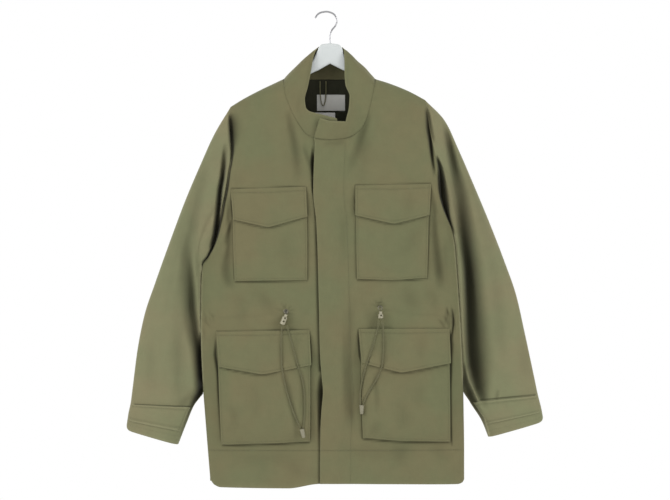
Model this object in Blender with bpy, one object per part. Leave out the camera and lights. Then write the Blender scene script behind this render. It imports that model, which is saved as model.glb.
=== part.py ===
"""Field raincoat with a stand collar, fly placket, four flapped patch pockets and a waist
drawcord, hanging on a plain hanger. Metres, +Z up, the front faces -Y, and the origin is the
inner top of the hanger's hook. Tables are in millimetres: x to the right seen from the front,
drop = how far below the hook's inner top, y = towards the back."""

import math

import bmesh
import bpy
import numpy as np
from mathutils import Vector
from mathutils.bvhtree import BVHTree

for old in list(bpy.data.objects):
    bpy.data.objects.remove(old, do_unlink=True)

# ------------------------------------------------------------------ driving sizes, mm
CLOTH = 2.0            # shell and lining of the body and the sleeves together
COLLAR_CLOTH = 2.6     # collar with its interlining
TRIM_CLOTH = 1.6       # pockets, flaps and tabs
SEAM = 0.5             # clear space at a seam
LAY = 0.4              # clear space under a piece that lies on another
SHOULDER_ROUND = 32.0  # how far the cloth takes to round over the hanger
ARMHOLE_FRONT = 30.0   # half depths of the armhole
ARMHOLE_BACK = 26.0
PLACKET_WIDTH = 62.0
CORD_R = 1.5
HOOK_R = 1.8
M = 0.001


# ------------------------------------------------------------------ tables
class Table:
    """A short table with named columns; at() reads a column smoothly, without overshoot."""

    def __init__(self, columns, rows):
        self.col = {c: np.array([r[i] for r in rows], float) for i, c in enumerate(columns)}
        self.key = self.col[columns[0]]

    def at(self, name, where):
        x, y = self.key, self.col[name]
        t = np.clip(np.asarray(where, float), x[0], x[-1])
        h = np.diff(x)
        d = np.diff(y) / h
        m = np.zeros_like(y)
        m[0], m[-1] = d[0], d[-1]
        for k in range(1, len(y) - 1):
            if d[k - 1] * d[k] > 0:
                a, b = 2 * h[k] + h[k - 1], h[k] + 2 * h[k - 1]
                m[k] = (a + b) / (a / d[k - 1] + b / d[k])
        k = np.clip(np.searchsorted(x, t, side="right") - 1, 0, len(x) - 2)
        s = (t - x[k]) / h[k]
        return ((2 * s**3 - 3 * s**2 + 1) * y[k] + (s**3 - 2 * s**2 + s) * h[k] * m[k]
                + (3 * s**2 - 2 * s**3) * y[k + 1] + (s**3 - s**2) * h[k] * m[k + 1])


# side edges of the body (armhole, then side seam) and how far it stands out front and back
BODY = Table(("drop", "left", "right", "front", "back"), [
    (175, -192, 197, 35, 28),
    (192, -192, 200, 37, 29),
    (236, -190, 207, 41, 32),
    (280, -188, 216, 43, 34),
    (316, -193, 225, 44, 35),
    (352, -198, 230, 44, 35),
    (390, -206, 238, 43, 35),
    (440, -220, 254, 42, 34),
    (470, -230, 258, 41, 34),
    (506, -250, 261, 40, 33),
    (576, -252, 266, 39, 33),
    (642, -252, 270, 39, 33),
    (746, -248, 274, 41, 35),
    (800, -244, 275, 42, 36),
    (876, -238, 276, 44, 38),
    (960, -231, 276, 46, 40)])
# the line of the shoulders, carried on across the neck
RIDGE = Table(("x", "drop"), [
    (-215, 203), (-192, 189), (-173, 177), (-135, 156.5), (-93, 136.5), (-86, 133.2), (-40, 112),
    (9, 100), (60, 113), (98, 133.2), (117, 139), (161, 156), (197, 175), (225, 192)])
ARMHOLE = {"left": (189.0, 506.0), "right": (175.0, 440.0)}
# neckline of the fronts, from the left neck point down and up to the right one
NECK_FRONT = Table(("part", "x", "drop"), [
    (0.00, -86, 133.5), (0.08, -84, 160), (0.16, -76, 184), (0.24, -66, 207), (0.31, -54, 227),
    (0.37, -40, 245), (0.43, -22, 253), (0.52, 8, 256), (0.62, 42, 252), (0.69, 60, 243),
    (0.74, 71, 232), (0.80, 80, 214), (0.86, 87, 190), (0.93, 93, 162), (1.00, 98, 133.5)])
CENTRE = Table(("drop", "x"), [(240, 8), (500, 10), (650, 14), (960, 18)])
PLACKET_EDGE = Table(("drop", "x"), [
    (250, -25), (264, -23), (288, -24), (360, -26), (420, -20), (462, -18), (576, -15),
    (685, -12.5), (726, -9.5), (758, -6.6), (794, -9.4), (842, -11.8), (940, -12.4)])
HEM = {
    "front": Table(("x", "drop"), [
        (-231, 938), (-225, 945), (-212, 950), (-77, 951), (-13, 942), (18, 942), (150, 943),
        (262, 944), (272, 941), (276, 935)]),
    "back": Table(("x", "drop"), [
        (-231, 938), (-225, 944), (-212, 948), (9, 946), (262, 944), (272, 941), (276, 935)])}
# large folds of the body: a soft ridge (+) or trough (-) along a line, "wide" across it
FOLDS = [dict(zip(("side", "x0", "d0", "x1", "d1", "wide", "deep"), r)) for r in [
    ("front", -74, 215, -60, 345, 16, -3.5),
    ("front", -52, 262, -34, 330, 13, 2.5),
    ("front", 82, 225, 56, 330, 16, -3.5),
    ("front", 62, 262, 30, 300, 13, 2.5),
    ("front", 58, 560, 50, 880, 16, -3.0),
    ("front", 34, 600, 30, 860, 12, 2.0),
    ("front", -232, 560, -120, 602, 14, -2.5),
    ("front", 250, 560, 150, 598, 14, -2.5),
    ("front", -238, 880, -226, 940, 14, -2.5),
    ("back", -95, 200, -70, 470, 22, -3.5),
    ("back", 110, 210, 92, 500, 24, -3.5),
    ("back", 12, 330, 2, 700, 26, 3.0),
    ("back", -150, 590, -165, 900, 24, 4.0),
    ("back", -60, 640, -66, 930, 22, -4.0),
    ("back", 86, 620, 98, 930, 24, 4.0),
    ("back", 180, 600, 200, 920, 22, -3.5),
    ("back", -235, 600, -90, 612, 13, -3.0),
    ("back", 255, 600, 110, 608, 13, -3.0)]]
# sections of the sleeves: outer and inner point, half depths, how far back they hang, and how
# much further back the inner side lies, behind the edge of the body
SLEEVES = {
    "left": Table(("at", "ox", "od", "ix", "id", "front", "back", "y", "tuck"), [
        (0, -192, 189, -250, 506, 30, 26, 0, 0), (1, -225, 244, -252.6, 513, 29, 27, 3, 3),
        (2, -255, 310, -253.6, 527, 33, 30, 3, 11), (3, -283, 376, -250.4, 548, 34, 31, 3, 20),
        (4, -313, 456, -248, 582, 33, 30, 3, 20), (5, -343, 540, -247, 626, 31, 28, 2, 20),
        (6, -365, 606, -246.5, 672, 29, 27, 1, 20), (7, -379, 676, -245, 718, 28, 26, 0, 20),
        (8, -388, 746, -246, 755, 27, 25, 0, 18), (9, -393, 784, -267, 790, 26, 24, 0, 8),
        (10, -397, 802, -281, 824, 26, 24, 0, 2), (11, -400, 823, -297, 865, 26, 24, 0, 0)]),
    "right": Table(("at", "ox", "od", "ix", "id", "front", "back", "y", "tuck"), [
        (0, 197, 175, 254, 440, 30, 26, 0, 0), (1, 235, 216, 257.2, 450, 29, 27, 3, 3),
        (2, 263, 276, 257.5, 468, 33, 30, 3, 14), (3, 293, 346, 256.8, 494, 34, 31, 3, 20),
        (4, 323, 418, 259.5, 534, 33, 30, 3, 20), (5, 353, 496, 263, 588, 31, 28, 2, 20),
        (6, 377, 566, 266, 642, 29, 27, 1, 20), (7, 395, 640, 269, 692, 28, 26, 0, 20),
        (8, 413, 728, 271.5, 750, 27, 25, 0, 18), (9, 421, 766, 287, 780, 26, 24, 0, 8),
        (10, 429, 792, 311, 818, 26, 24, 0, 2), (11, 433.6, 809, 324, 850, 26, 24, 0, 0)])}
# folds of the sleeves: along "at", at an angle round the section (0 outer, 90 front, 180 inner)
SLEEVE_FOLDS = [dict(zip(("side", "at0", "ang0", "at1", "ang1", "wide", "deep"), r)) for r in [
    ("left", 0.5, 96, 3.5, 140, 15, -3.0), ("left", 2.2, 60, 6.0, 82, 16, 3.0),
    ("left", 4.5, 128, 7.8, 150, 14, -3.5), ("left", 1.0, 262, 6.0, 240, 18, -4.0),
    ("left", 4.0, 292, 9.5, 284, 16, 3.0),
    ("right", 0.6, 92, 3.6, 118, 15, -3.0), ("right", 3.0, 126, 8.6, 142, 14, -4.0),
    ("right", 2.2, 60, 6.0, 76, 16, 3.0), ("right", 1.0, 258, 6.5, 244, 18, -4.0),
    ("right", 4.2, 300, 9.0, 288, 16, 3.0)]]
# collar: where each line starts on the neckline, and where it ends on the top edge
COLLAR = Table(("at", "sx", "sd", "tx", "ty", "td"), [
    (0, 30, 256, 20, -50, 214), (1, 4, 256, -4, -51, 208), (2, -24, 252.5, -24, -50, 203),
    (3, -42, 243, -36, -46, 199), (4, -56, 224, -43, -41, 189), (5, -68, 203, -44, -34, 174),
    (6, -78, 179, -38, -26, 152), (7, -84, 158, -31, -17, 118), (7.5, -85.5, 145, -27, -13, 93),
    (8, -86, 133.5, -22, -4, 74), (9, -50, 132.5, -13, 21, 66), (10, 9, 132.5, 8, 29, 64),
    (11, 66, 132.5, 27, 21, 66), (12, 98, 133.5, 36, -4, 75), (12.5, 96.5, 145, 36, -13, 91),
    (13, 94, 158, 36, -17, 115), (14, 87, 188, 38, -26, 144), (15, 80, 213, 47, -34, 168),
    (16, 71, 232, 46, -42, 190), (17, 60, 243, 42, -50, 209), (18, 44, 251, 39, -55, 221),
    (19, 8, 256, 9, -58, 220), (20, -25, 252, -13, -57, 214)])
POCKETS = [dict(zip(("name", "xl_top", "xr_top", "xl_low", "xr_low", "d_top", "d_left", "d_mid",
                     "d_right", "bulge", "front"), r)) for r in [
    ("chest_pocket_left", -187.4, -40.4, -183.6, -38.4, 366, 538, 537, 536, 3.5, "front_left"),
    ("chest_pocket_right", 59.8, 204.0, 60.6, 201.0, 360, 534, 536, 532, 3.5, "front_right"),
    ("lower_pocket_left", -217.5, -33.5, -210.0, -33.0, 653, 865, 862, 858, 14.0, "front_left"),
    ("lower_pocket_right", 68.5, 244.0, 72.4, 247.5, 649, 851, 857, 859, 14.0, "front_right")]]
FLAPS = [dict(zip(("name", "xl", "xr", "dl", "dr", "bxl", "bdl", "bxm", "bdm", "bxr", "bdr",
                   "pocket"), r)) for r in [
    ("chest_flap_left", -191, -41.2, 354.8, 350.2, -186, 415, -116.2, 430, -38.5, 409,
     "chest_pocket_left"),
    ("chest_flap_right", 57.8, 208.6, 347.4, 344.6, 57.8, 406.6, 134.6, 423.2, 205.5, 405.8,
     "chest_pocket_right"),
    ("lower_flap_left", -220.8, -34.2, 639.6, 636, -213.6, 709.2, -127.6, 723.2, -30.6, 705,
     "lower_pocket_left"),
    ("lower_flap_right", 64, 245.8, 633.6, 633.6, 70.5, 700.6, 150, 719.6, 248, 701.4,
     "lower_pocket_right")]]
# hanger: upper and lower edge and half thickness across its span
HANGER = Table(("x", "top", "low", "half"), [
    (-189, 198, 204, 3.5), (-186, 194.5, 210, 6.0), (-173, 186, 206, 7.0), (-135, 166, 187, 7.0),
    (-86, 144.5, 163, 6.5), (-60, 127, 143, 5.5), (-35, 105, 125, 5.0), (-25, 90, 119.5, 5.0),
    (-17, 74, 116, 5.0), (-14, 67.5, 114.5, 5.0), (-8, 63.2, 111, 5.0), (7, 62, 102.6, 5.0),
    (22, 63.2, 110, 5.0), (29, 67.5, 113.5, 5.0), (32, 74, 115, 5.0), (37, 90, 117.5, 5.0),
    (48, 107, 125, 5.0), (72, 128, 143, 5.5), (98, 144.5, 163, 6.5), (140, 159, 180, 7.0),
    (185, 179.5, 200, 7.0), (196, 188, 204, 6.0), (199, 192, 198, 3.5)])
HOOK = Table(("at", "x", "drop"), [
    (0, -23, 11.2), (1, -18.6, 4.4), (2, -10.5, -0.4), (3, 0, -1.9), (4, 10.6, 0.8),
    (5, 18.2, 7.4), (6, 20.7, 16.2), (7, 17.6, 26.2), (8, 11.0, 34.6), (9, 7.6, 42),
    (10, 7.0, 50), (11, 7.0, 61.6)])
# drawcord strands, from the lock down to the cord end
STRANDS = {
    "drawcord_left_a": Table(("drop", "x", "y"), [
        (627, -89.0, -44.6), (638, -89.5, -47.6), (649, -89.8, -52.2), (668, -90, -55.8),
        (706, -89, -59.2), (740, -83, -57.8), (790, -69, -58.0), (824, -55, -58.6),
        (830.5, -51.6, -58.8)]),
    "drawcord_left_b": Table(("drop", "x", "y"), [
        (627, -79.0, -44.6), (638, -75.8, -47.8), (649, -72.6, -52.2), (668, -67, -55.6),
        (706, -57, -58.6), (740, -47, -53.4), (776, -43.5, -52.8), (812, -44.6, -55.6),
        (830.5, -46.8, -58.6)]),
    "drawcord_right_a": Table(("drop", "x", "y"), [
        (614, 111.0, -44.6), (633, 113, -47.2), (646, 113.4, -51.8), (668, 113.5, -55.8),
        (704, 111, -58.8), (730, 101, -56.2), (756, 86, -53.4), (776, 75.6, -51.4),
        (784.5, 72.6, -51.2)]),
    "drawcord_right_b": Table(("drop", "x", "y"), [
        (614, 105.0, -44.6), (633, 101.8, -47.4), (646, 98.4, -51.8), (668, 92, -55.4),
        (704, 80, -55.4), (730, 72.5, -48.4), (756, 68.0, -47.2), (776, 67.4, -49.8),
        (784.5, 67.8, -51.2)])}


# ------------------------------------------------------------------ the body's surface
def sag(x, d, folds):
    """How far the folds push the cloth out at x, drop."""
    out = np.zeros(np.broadcast(x, d).shape)
    for f in folds:
        vx, vd = f["x1"] - f["x0"], f["d1"] - f["d0"]
        n2 = vx * vx + vd * vd
        t = ((x - f["x0"]) * vx + (d - f["d0"]) * vd) / n2
        across = (x - f["x0"]) * vd - (d - f["d0"]) * vx
        across = across / math.sqrt(n2)
        tt = np.clip(t, 0, 1)
        end = np.sqrt(n2) * np.abs(t - tt)
        fade = np.sin(np.pi * np.clip(tt, 0.02, 0.98)) ** 0.6
        out = out + f["deep"] * fade * np.exp(-(across / f["wide"])**2 - (end / f["wide"])**2)
    return out


def body_y(side, x, d):
    """Depth of the body's outer surface, at x and drop, before its seam allowance."""
    left, right = BODY.at("left", d), BODY.at("right", d)
    mid, half = (left + right) / 2, (right - left) / 2
    u = np.clip((x - mid) / half, -1, 1)
    bulge = BODY.at(side, d)
    e_max = ARMHOLE_FRONT if side == "front" else ARMHOLE_BACK
    edge = np.zeros(np.broadcast(x, d).shape)
    for name, mask in (("left", u < 0), ("right", u >= 0)):
        top, under = ARMHOLE[name]
        q = np.clip((d - top) / (under - top), 0, 1)
        e = e_max * np.sin(np.pi * q) ** 0.62
        edge = np.where(mask, e, edge)
    t = np.clip((d - RIDGE.at("drop", x)) / SHOULDER_ROUND, 0, 1)
    over = np.sqrt(np.clip(1 - (1 - t)**2, 0, 1))
    across = np.sqrt(np.clip(1 - u * u, 0, 1))
    calm = np.minimum(1, across / 0.35) * over
    deep = (edge + (bulge - edge) * across) * over
    deep = deep + calm * sag(x, d, [f for f in FOLDS if f["side"] == side])
    return -deep if side == "front" else deep


# ------------------------------------------------------------------ mesh helpers
MATERIALS = {}


def material(name, colour, rough, metal=0.0):
    if name not in MATERIALS:
        mat = bpy.data.materials.new(name)
        mat.use_nodes = True
        bsdf = mat.node_tree.nodes["Principled BSDF"]
        bsdf.inputs["Base Color"].default_value = (*colour, 1)
        bsdf.inputs["Roughness"].default_value = rough
        bsdf.inputs["Metallic"].default_value = metal
        MATERIALS[name] = mat
    return MATERIALS[name]


OLIVE = ("olive_cloth", (0.19, 0.18, 0.10), 0.85)
OLIVE_SLEEVE = ("olive_sleeve_cloth", (0.22, 0.21, 0.125), 0.85)
DARK = ("dark_lining", (0.03, 0.032, 0.018), 0.8)
LABEL = ("pale_label", (0.62, 0.62, 0.58), 0.7)
BEIGE = ("beige_plastic", (0.36, 0.33, 0.22), 0.5)
EYELET = ("eyelet_metal", (0.10, 0.095, 0.07), 0.4, 0.9)
WHITE = ("white_plastic", (0.75, 0.77, 0.76), 0.35)
CHROME = ("chrome_wire", (0.75, 0.75, 0.76), 0.18, 1.0)
PARTS = {}


def add(name, verts, faces, finish):
    """A closed mesh, in mm with drop turned into height, faces turned outwards."""
    v = np.asarray(verts, float)
    tri = np.asarray(faces)
    a, b, c = v[tri[:, 0]], v[tri[:, 1]], v[tri[:, 2]]
    if np.einsum("ij,ij->i", a, np.cross(b, c)).sum() < 0:
        tri = tri[:, ::-1]
    mesh = bpy.data.meshes.new(name)
    mesh.from_pydata((v * M).tolist(), [], tri.tolist())
    mesh.validate()
    mesh.update()
    obj = bpy.data.objects.new(name, mesh)
    bpy.context.collection.objects.link(obj)
    mesh.materials.append(material(*finish))
    mesh.shade_smooth()
    mesh.set_sharp_from_angle(angle=math.radians(50))
    PARTS[name] = obj
    return obj


def normals(p, closed, toward):
    """Unit normals of a grid of points, all on the side that toward gives."""
    du = np.gradient(p, axis=0)
    if closed:
        dv = (np.roll(p, -1, axis=1) - np.roll(p, 1, axis=1)) / 2
    else:
        dv = np.gradient(p, axis=1)
    n = np.cross(du, dv)
    n /= np.maximum(np.linalg.norm(n, axis=2, keepdims=True), 1e-9)
    if np.einsum("ijk,ijk->ij", n, toward).sum() < 0:
        n = -n
    return n


def wall(name, outer, inner, closed, finish):
    """Closed solid between two grids of points, rows by columns."""
    m, n, _ = outer.shape
    verts = np.concatenate([outer.reshape(-1, 3), inner.reshape(-1, 3)])
    base = m * n
    idx = lambda i, j: i * n + (j % n)
    tri = []
    cols = n if closed else n - 1

    def quad(a, b, c, d):
        tri.append((a, b, c))
        tri.append((a, c, d))

    for i in range(m - 1):
        for j in range(cols):
            quad(idx(i, j), idx(i, j + 1), idx(i + 1, j + 1), idx(i + 1, j))
            quad(base + idx(i, j), base + idx(i + 1, j), base + idx(i + 1, j + 1),
                 base + idx(i, j + 1))
    for j in range(cols):
        quad(idx(0, j), base + idx(0, j), base + idx(0, j + 1), idx(0, j + 1))
        quad(idx(m - 1, j), idx(m - 1, j + 1), base + idx(m - 1, j + 1), base + idx(m - 1, j))
    if not closed:
        for i in range(m - 1):
            quad(idx(i, 0), idx(i + 1, 0), base + idx(i + 1, 0), base + idx(i, 0))
            quad(idx(i, n - 1), base + idx(i, n - 1), base + idx(i + 1, n - 1),
                 idx(i + 1, n - 1))
    return add(name, verts, tri, finish)


def xyz(x, y, d):
    return np.stack([x, y, -np.asarray(d, float)], axis=-1)


# ------------------------------------------------------------------ body panels
YOKE = 285.0
ACROSS = {
    "front": np.array([0, 0.007, 0.03, 0.08, 0.17, 0.30, 0.46, 0.54, 0.62, 0.70, 0.79, 0.89, 1]),
    "back": np.array([0, 0.007, 0.03, 0.08, 0.17, 0.30, 0.46, 0.64, 0.82, 1])}
NECK_COLUMN = {k: int(np.argmin(np.abs(v - 0.46))) for k, v in ACROSS.items()}
YOKE_ROWS = np.array([0, 0.035, 0.12, 0.26, 0.46, 0.72])
DROPS = np.array([285, 330, 380, 430, 470, 506, 560, 615, 670, 725, 780, 840, 900, 938], float)


def panel_grid(side, which, yoke_rows=YOKE_ROWS, drops=DROPS):
    """x and drop of a half panel's points; column 0 is the armhole and side seam."""
    sign = -1 if which == "left" else 1
    across = ACROSS[side]
    top_d, _ = ARMHOLE[which]
    neck = 0.46
    xs, ds = [], []
    tip = -86.0 if which == "left" else 98.0
    tx, td = [], []
    for s in across:
        if s <= neck:
            x = BODY.at(which, top_d) + (tip - BODY.at(which, top_d)) * s / neck
            x = float(x)
            tx.append(x)
            td.append(float(RIDGE.at("drop", x)))
        elif side == "front":
            k = (s - neck) / (1 - neck)
            part = 0.52 * k if which == "left" else 1 - 0.48 * k
            tx.append(float(NECK_FRONT.at("x", part)))
            td.append(float(NECK_FRONT.at("drop", part)))
        else:
            k = (s - neck) / (1 - neck)
            tx.append(tip + (8 - tip) * k)
            td.append(133.2)
    tx, td = np.array(tx), np.array(td)
    seam = lambda d: CENTRE.at("x", d) if side == "front" else 8.0 + 0 * d
    qx = BODY.at(which, YOKE) + (seam(np.array(YOKE)) - BODY.at(which, YOKE)) * across
    for v in yoke_rows:
        x = tx + (qx - tx) * v
        d = td + (YOKE - td) * v
        d0 = td[0] + (YOKE - td[0]) * v
        lerp0 = tx[0] + (qx[0] - tx[0]) * v
        x = x + (1 - across)**6 * (float(BODY.at(which, d0)) - lerp0)
        xs.append(x)
        ds.append(d)
    for d in drops:
        edge = BODY.at(which, d)
        x = edge + (seam(np.array(d)) - edge) * across
        xs.append(x)
        ds.append(np.full(len(across), d))
    x = xs[-1]
    hem = HEM[side].at("drop", x)
    last = np.maximum(hem, drops[-1] + 0.6)
    xs.append(x)
    ds.append(last)
    return np.array(xs), np.array(ds), sign


def panel(name, side, which, finish):
    x, d, sign = panel_grid(side, which)
    y = body_y(side, x, d)
    face = -1 if side == "front" else 1
    outer = xyz(x, y, d)
    toward = np.zeros_like(outer)
    toward[..., 1] = face
    n = normals(outer, False, toward)
    # along the neckline the cloth's edge stands square to the seam
    n[0, NECK_COLUMN[side]:, 0] = 0
    n[0] /= np.linalg.norm(n[0], axis=1, keepdims=True)
    inner = outer - CLOTH * n
    gap = SEAM / 2
    for p in (outer, inner):
        p[..., 1] = np.minimum(p[..., 1], -gap) if face < 0 else np.maximum(p[..., 1], gap)
    if side == "front":
        for p in (outer, inner):
            p[:, -1, 0] -= -sign * 0 + (gap if which == "left" else -gap)
    return outer, inner, wall(name, outer, inner, False, finish) if name else None


front_l, front_l_in, _ = panel("front_left", "front", "left", OLIVE)
front_r, front_r_in, _ = panel("front_right", "front", "right", OLIVE)
back_l, back_l_in, _ = panel(None, "back", "left", OLIVE)
back_r, back_r_in, _ = panel(None, "back", "right", OLIVE)
EDGES = {("front", "left"): front_l[:, 0], ("front", "right"): front_r[:, 0],
         ("back", "left"): back_l[:, 0], ("back", "right"): back_r[:, 0]}
wall("back", np.concatenate([back_l, back_r[:, -2::-1]], axis=1),
     np.concatenate([back_l_in, back_r_in[:, -2::-1]], axis=1), False, OLIVE)


# ------------------------------------------------------------------ what lies on the fronts
def tree(*names):
    """Surface of pieces already made, to lay another piece on."""
    verts, polys = [], []
    for name in names:
        mesh = PARTS[name].data
        base = len(verts)
        verts += [v.co.copy() for v in mesh.vertices]
        polys += [[base + i for i in p.vertices] for p in mesh.polygons]
    return BVHTree.FromPolygons(verts, polys)


def front_of(surface, x, d, reach=9.0):
    """Foremost y within reach of x, drop."""
    best = 1e9
    for ax in (-1, -0.5, 0, 0.5, 1):
        for ad in (-1, -0.5, 0, 0.5, 1):
            hit = surface.ray_cast(Vector(((x + ax * reach) * M, -0.5, -(d + ad * reach) * M)),
                                   Vector((0, 1, 0)))[0]
            if hit is not None:
                best = min(best, hit.y / M)
    return best


def laid(name, x, d, lift, surface, thick, finish, reach=9.0):
    """A piece on a panel: from the panel's points, moved out by the lay and by its lift."""
    y = np.array([[front_of(surface, x[i, j], d[i, j], reach) for j in range(x.shape[1])]
                  for i in range(x.shape[0])]) - LAY - lift
    inner = xyz(x, y, d)
    outer = xyz(x, y - thick, d)
    return wall(name, outer, inner, False, finish)


fronts = tree("front_left", "front_right")
rows = np.array([258.5, 290, 330, 370, 410, 450, 500, 550, 600, 650, 700, 750, 800, 850, 900,
                 939.5])
part = np.linspace(0, 1, 5)
px = PLACKET_EDGE.at("x", rows)[:, None] + PLACKET_WIDTH * part[None, :]
pd = np.repeat(rows[:, None], len(part), axis=1)
laid("placket", px, pd, 0 * px, fronts, CLOTH, OLIVE, 10.0)

for p in POCKETS:
    u, v = np.linspace(0, 1, 9), np.linspace(0, 1, 7)
    uu, vv = np.meshgrid(u, v)
    xl = p["xl_top"] + (p["xl_low"] - p["xl_top"]) * vv
    xr = p["xr_top"] + (p["xr_low"] - p["xr_top"]) * vv
    low = np.where(uu < 0.5, p["d_left"] + (p["d_mid"] - p["d_left"]) * 2 * uu,
                   p["d_mid"] + (p["d_right"] - p["d_mid"]) * (2 * uu - 1))
    x = xl + (xr - xl) * uu
    d = p["d_top"] + (low - p["d_top"]) * vv
    rise = (np.clip(1 - np.abs(2 * uu - 1) ** 5, 0, 1)) * np.clip((1 - vv) / 0.16, 0, 1) ** 0.5
    rise = rise * (1 - 0.6 * np.exp(-(vv / 0.13) ** 2))
    p["lift"] = p["bulge"] * rise
    laid(p["name"], x, d, p["lift"], fronts, TRIM_CLOTH, OLIVE, 12.0)

for f in FLAPS:
    over = tree(f["pocket"], "front_left", "front_right")
    u, v = np.linspace(0, 1, 9), np.array([0, 0.14, 0.3, 0.55, 0.8, 1.0])
    uu, vv = np.meshgrid(u, v)
    low_x = np.where(uu < 0.5, f["bxl"] + (f["bxm"] - f["bxl"]) * 2 * uu,
                     f["bxm"] + (f["bxr"] - f["bxm"]) * (2 * uu - 1))
    low_d = np.where(uu < 0.5, f["bdl"] + (f["bdm"] - f["bdl"]) * 2 * uu,
                     f["bdm"] + (f["bdr"] - f["bdm"]) * (2 * uu - 1))
    top_x = f["xl"] + (f["xr"] - f["xl"]) * uu
    top_d = f["dl"] + (f["dr"] - f["dl"]) * uu
    x, d = top_x + (low_x - top_x) * vv, top_d + (low_d - top_d) * vv
    laid(f["name"], x, d, 0 * x, over, TRIM_CLOTH, OLIVE, 12.0)


# ------------------------------------------------------------------ sleeves and cuff tabs
def sleeve_points(which, at, ang):
    """Outer surface of a sleeve at a station and an angle in degrees round it."""
    t = SLEEVES[which]
    g = {c: t.at(c, at) for c in ("ox", "od", "ix", "id", "front", "back", "y", "tuck")}
    c, s = np.cos(np.radians(ang)), np.sin(np.radians(ang))
    mx, md = (g["ox"] + g["ix"]) / 2, (g["od"] + g["id"]) / 2
    hx, hd = (g["ox"] - g["ix"]) / 2, (g["od"] - g["id"]) / 2
    half = np.sqrt(hx * hx + hd * hd)
    full = np.sign(s) * np.abs(s) ** 0.88
    push = np.zeros(np.broadcast(at, ang).shape)
    for f in SLEEVE_FOLDS:
        if f["side"] != which:
            continue
        k = np.clip((at - f["at0"]) / (f["at1"] - f["at0"]), 0, 1)
        line = f["ang0"] + (f["ang1"] - f["ang0"]) * k
        dist = half * (np.cos(np.radians(ang)) - np.cos(np.radians(line)))
        same = np.where((s > 0) == (np.sin(np.radians(line)) > 0), 1.0, 0.0)
        push = push + same * f["deep"] * np.sin(np.pi * k) ** 0.6 * np.exp(-(dist / f["wide"])**2)
    deep = np.where(full >= 0, g["front"], g["back"])
    y = g["y"] + g["tuck"] * (1 - c) / 2 - full * (deep + push * np.abs(s))
    x, d = mx + hx * c, md + hd * c
    # the armhole's own edge, which the first sections grow out of
    w = np.clip(1 - at / 2.2, 0, 1)
    w = w * w * (3 - 2 * w)
    top, under = ARMHOLE[which]
    d0 = top + (under - top) * (1 - c) / 2
    sign = -1 if which == "left" else 1
    edge_f, edge_b = EDGES["front", which], EDGES["back", which]
    x0 = np.where(s >= 0, np.interp(d0, -edge_f[:, 2], edge_f[:, 0]),
                  np.interp(d0, -edge_b[:, 2], edge_b[:, 0]))
    y0 = np.where(s >= 0, np.interp(d0, -edge_f[:, 2], edge_f[:, 1]),
                  np.interp(d0, -edge_b[:, 2], edge_b[:, 1]))
    y0 = np.where(np.abs(s) < 0.01, 0.0, y0)
    t0 = {c2: t.at(c2, 0.0) for c2 in ("ox", "od", "ix", "id", "front", "back")}
    bx = (t0["ox"] + t0["ix"]) / 2 + (t0["ox"] - t0["ix"]) / 2 * c
    by = -full * np.where(full >= 0, t0["front"], t0["back"])
    x = x + w * (x0 + sign * SEAM - bx)
    y = y + w * (y0 - by)
    return xyz(x, y, d)


AROUND = np.array([0, 14, 32, 54, 76, 98, 120, 142, 160, 172, 184, 200, 222, 246, 270, 294,
                   316, 334, 348], float)
STATIONS = np.array([0, 0.5, 1, 1.5, 2, 2.7, 3.4, 4.2, 5, 5.8, 6.6, 7.3, 8, 8.6, 9.2, 10.1,
                     11])
sleeve_grids = {}
for which in ("left", "right"):
    at, ang = np.meshgrid(STATIONS, AROUND, indexing="ij")
    outer = sleeve_points(which, at, ang)
    middle = outer.mean(axis=1, keepdims=True)
    n = normals(outer, True, outer - middle)
    inner = outer - CLOTH * n
    hold = np.minimum if which == "left" else np.maximum
    inner[0, :, 0] = hold(inner[0, :, 0], outer[0, :, 0])
    sleeve_grids[which] = outer
    wall(f"sleeve_{which}", outer, inner, True, OLIVE_SLEEVE)

for which, low in (("left", 10.38), ("right", 10.22)):
    surface = tree(f"sleeve_{which}")
    at, ang = np.meshgrid(np.linspace(9.06, low, 4), np.linspace(30, 150, 8), indexing="ij")
    p = sleeve_points(which, at, ang)
    laid(f"cuff_tab_{which}", p[..., 0], -p[..., 2], 0 * at, surface, TRIM_CLOTH, OLIVE_SLEEVE,
         5.0)

# ------------------------------------------------------------------ collar
around = np.concatenate([np.linspace(0, 2, 5), np.linspace(2.5, 18, 32), np.linspace(18.5, 20, 4)])
up = np.array([0.0, 0.3, 0.65, 1.0])
sx, sd = COLLAR.at("sx", around), COLLAR.at("sd", around)
tx, ty, td = (COLLAR.at(c, around) for c in ("tx", "ty", "td"))
neck, neck_b = NECK_COLUMN["front"], NECK_COLUMN["back"]
NECK_RING = {
    "front": np.concatenate([front_l[0, neck:], front_r[0, neck:][::-1]]),
    "back": np.concatenate([back_l[0, neck_b:], back_r[0, neck_b:-1][::-1]])}


def on_ring(ring, x, d):
    """The nearest point to x, drop on a line of points seen from the front."""
    a, b = ring[:-1], ring[1:]
    q = np.array([x, -d])
    ab = (b - a)[:, [0, 2]]
    t = np.clip(((q - a[:, [0, 2]]) * ab).sum(1) / np.maximum((ab * ab).sum(1), 1e-9), 0, 1)
    p = a + (b - a) * t[:, None]
    return p[np.argmin(((p[:, [0, 2]] - q)**2).sum(1))]


base = np.array([on_ring(NECK_RING["back" if 8 < k < 12 else "front"], x, d)
                 for k, x, d in zip(around, sx, sd)])
sx, sy, sd = base[:, 0], base[:, 1], -base[:, 2]
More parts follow.
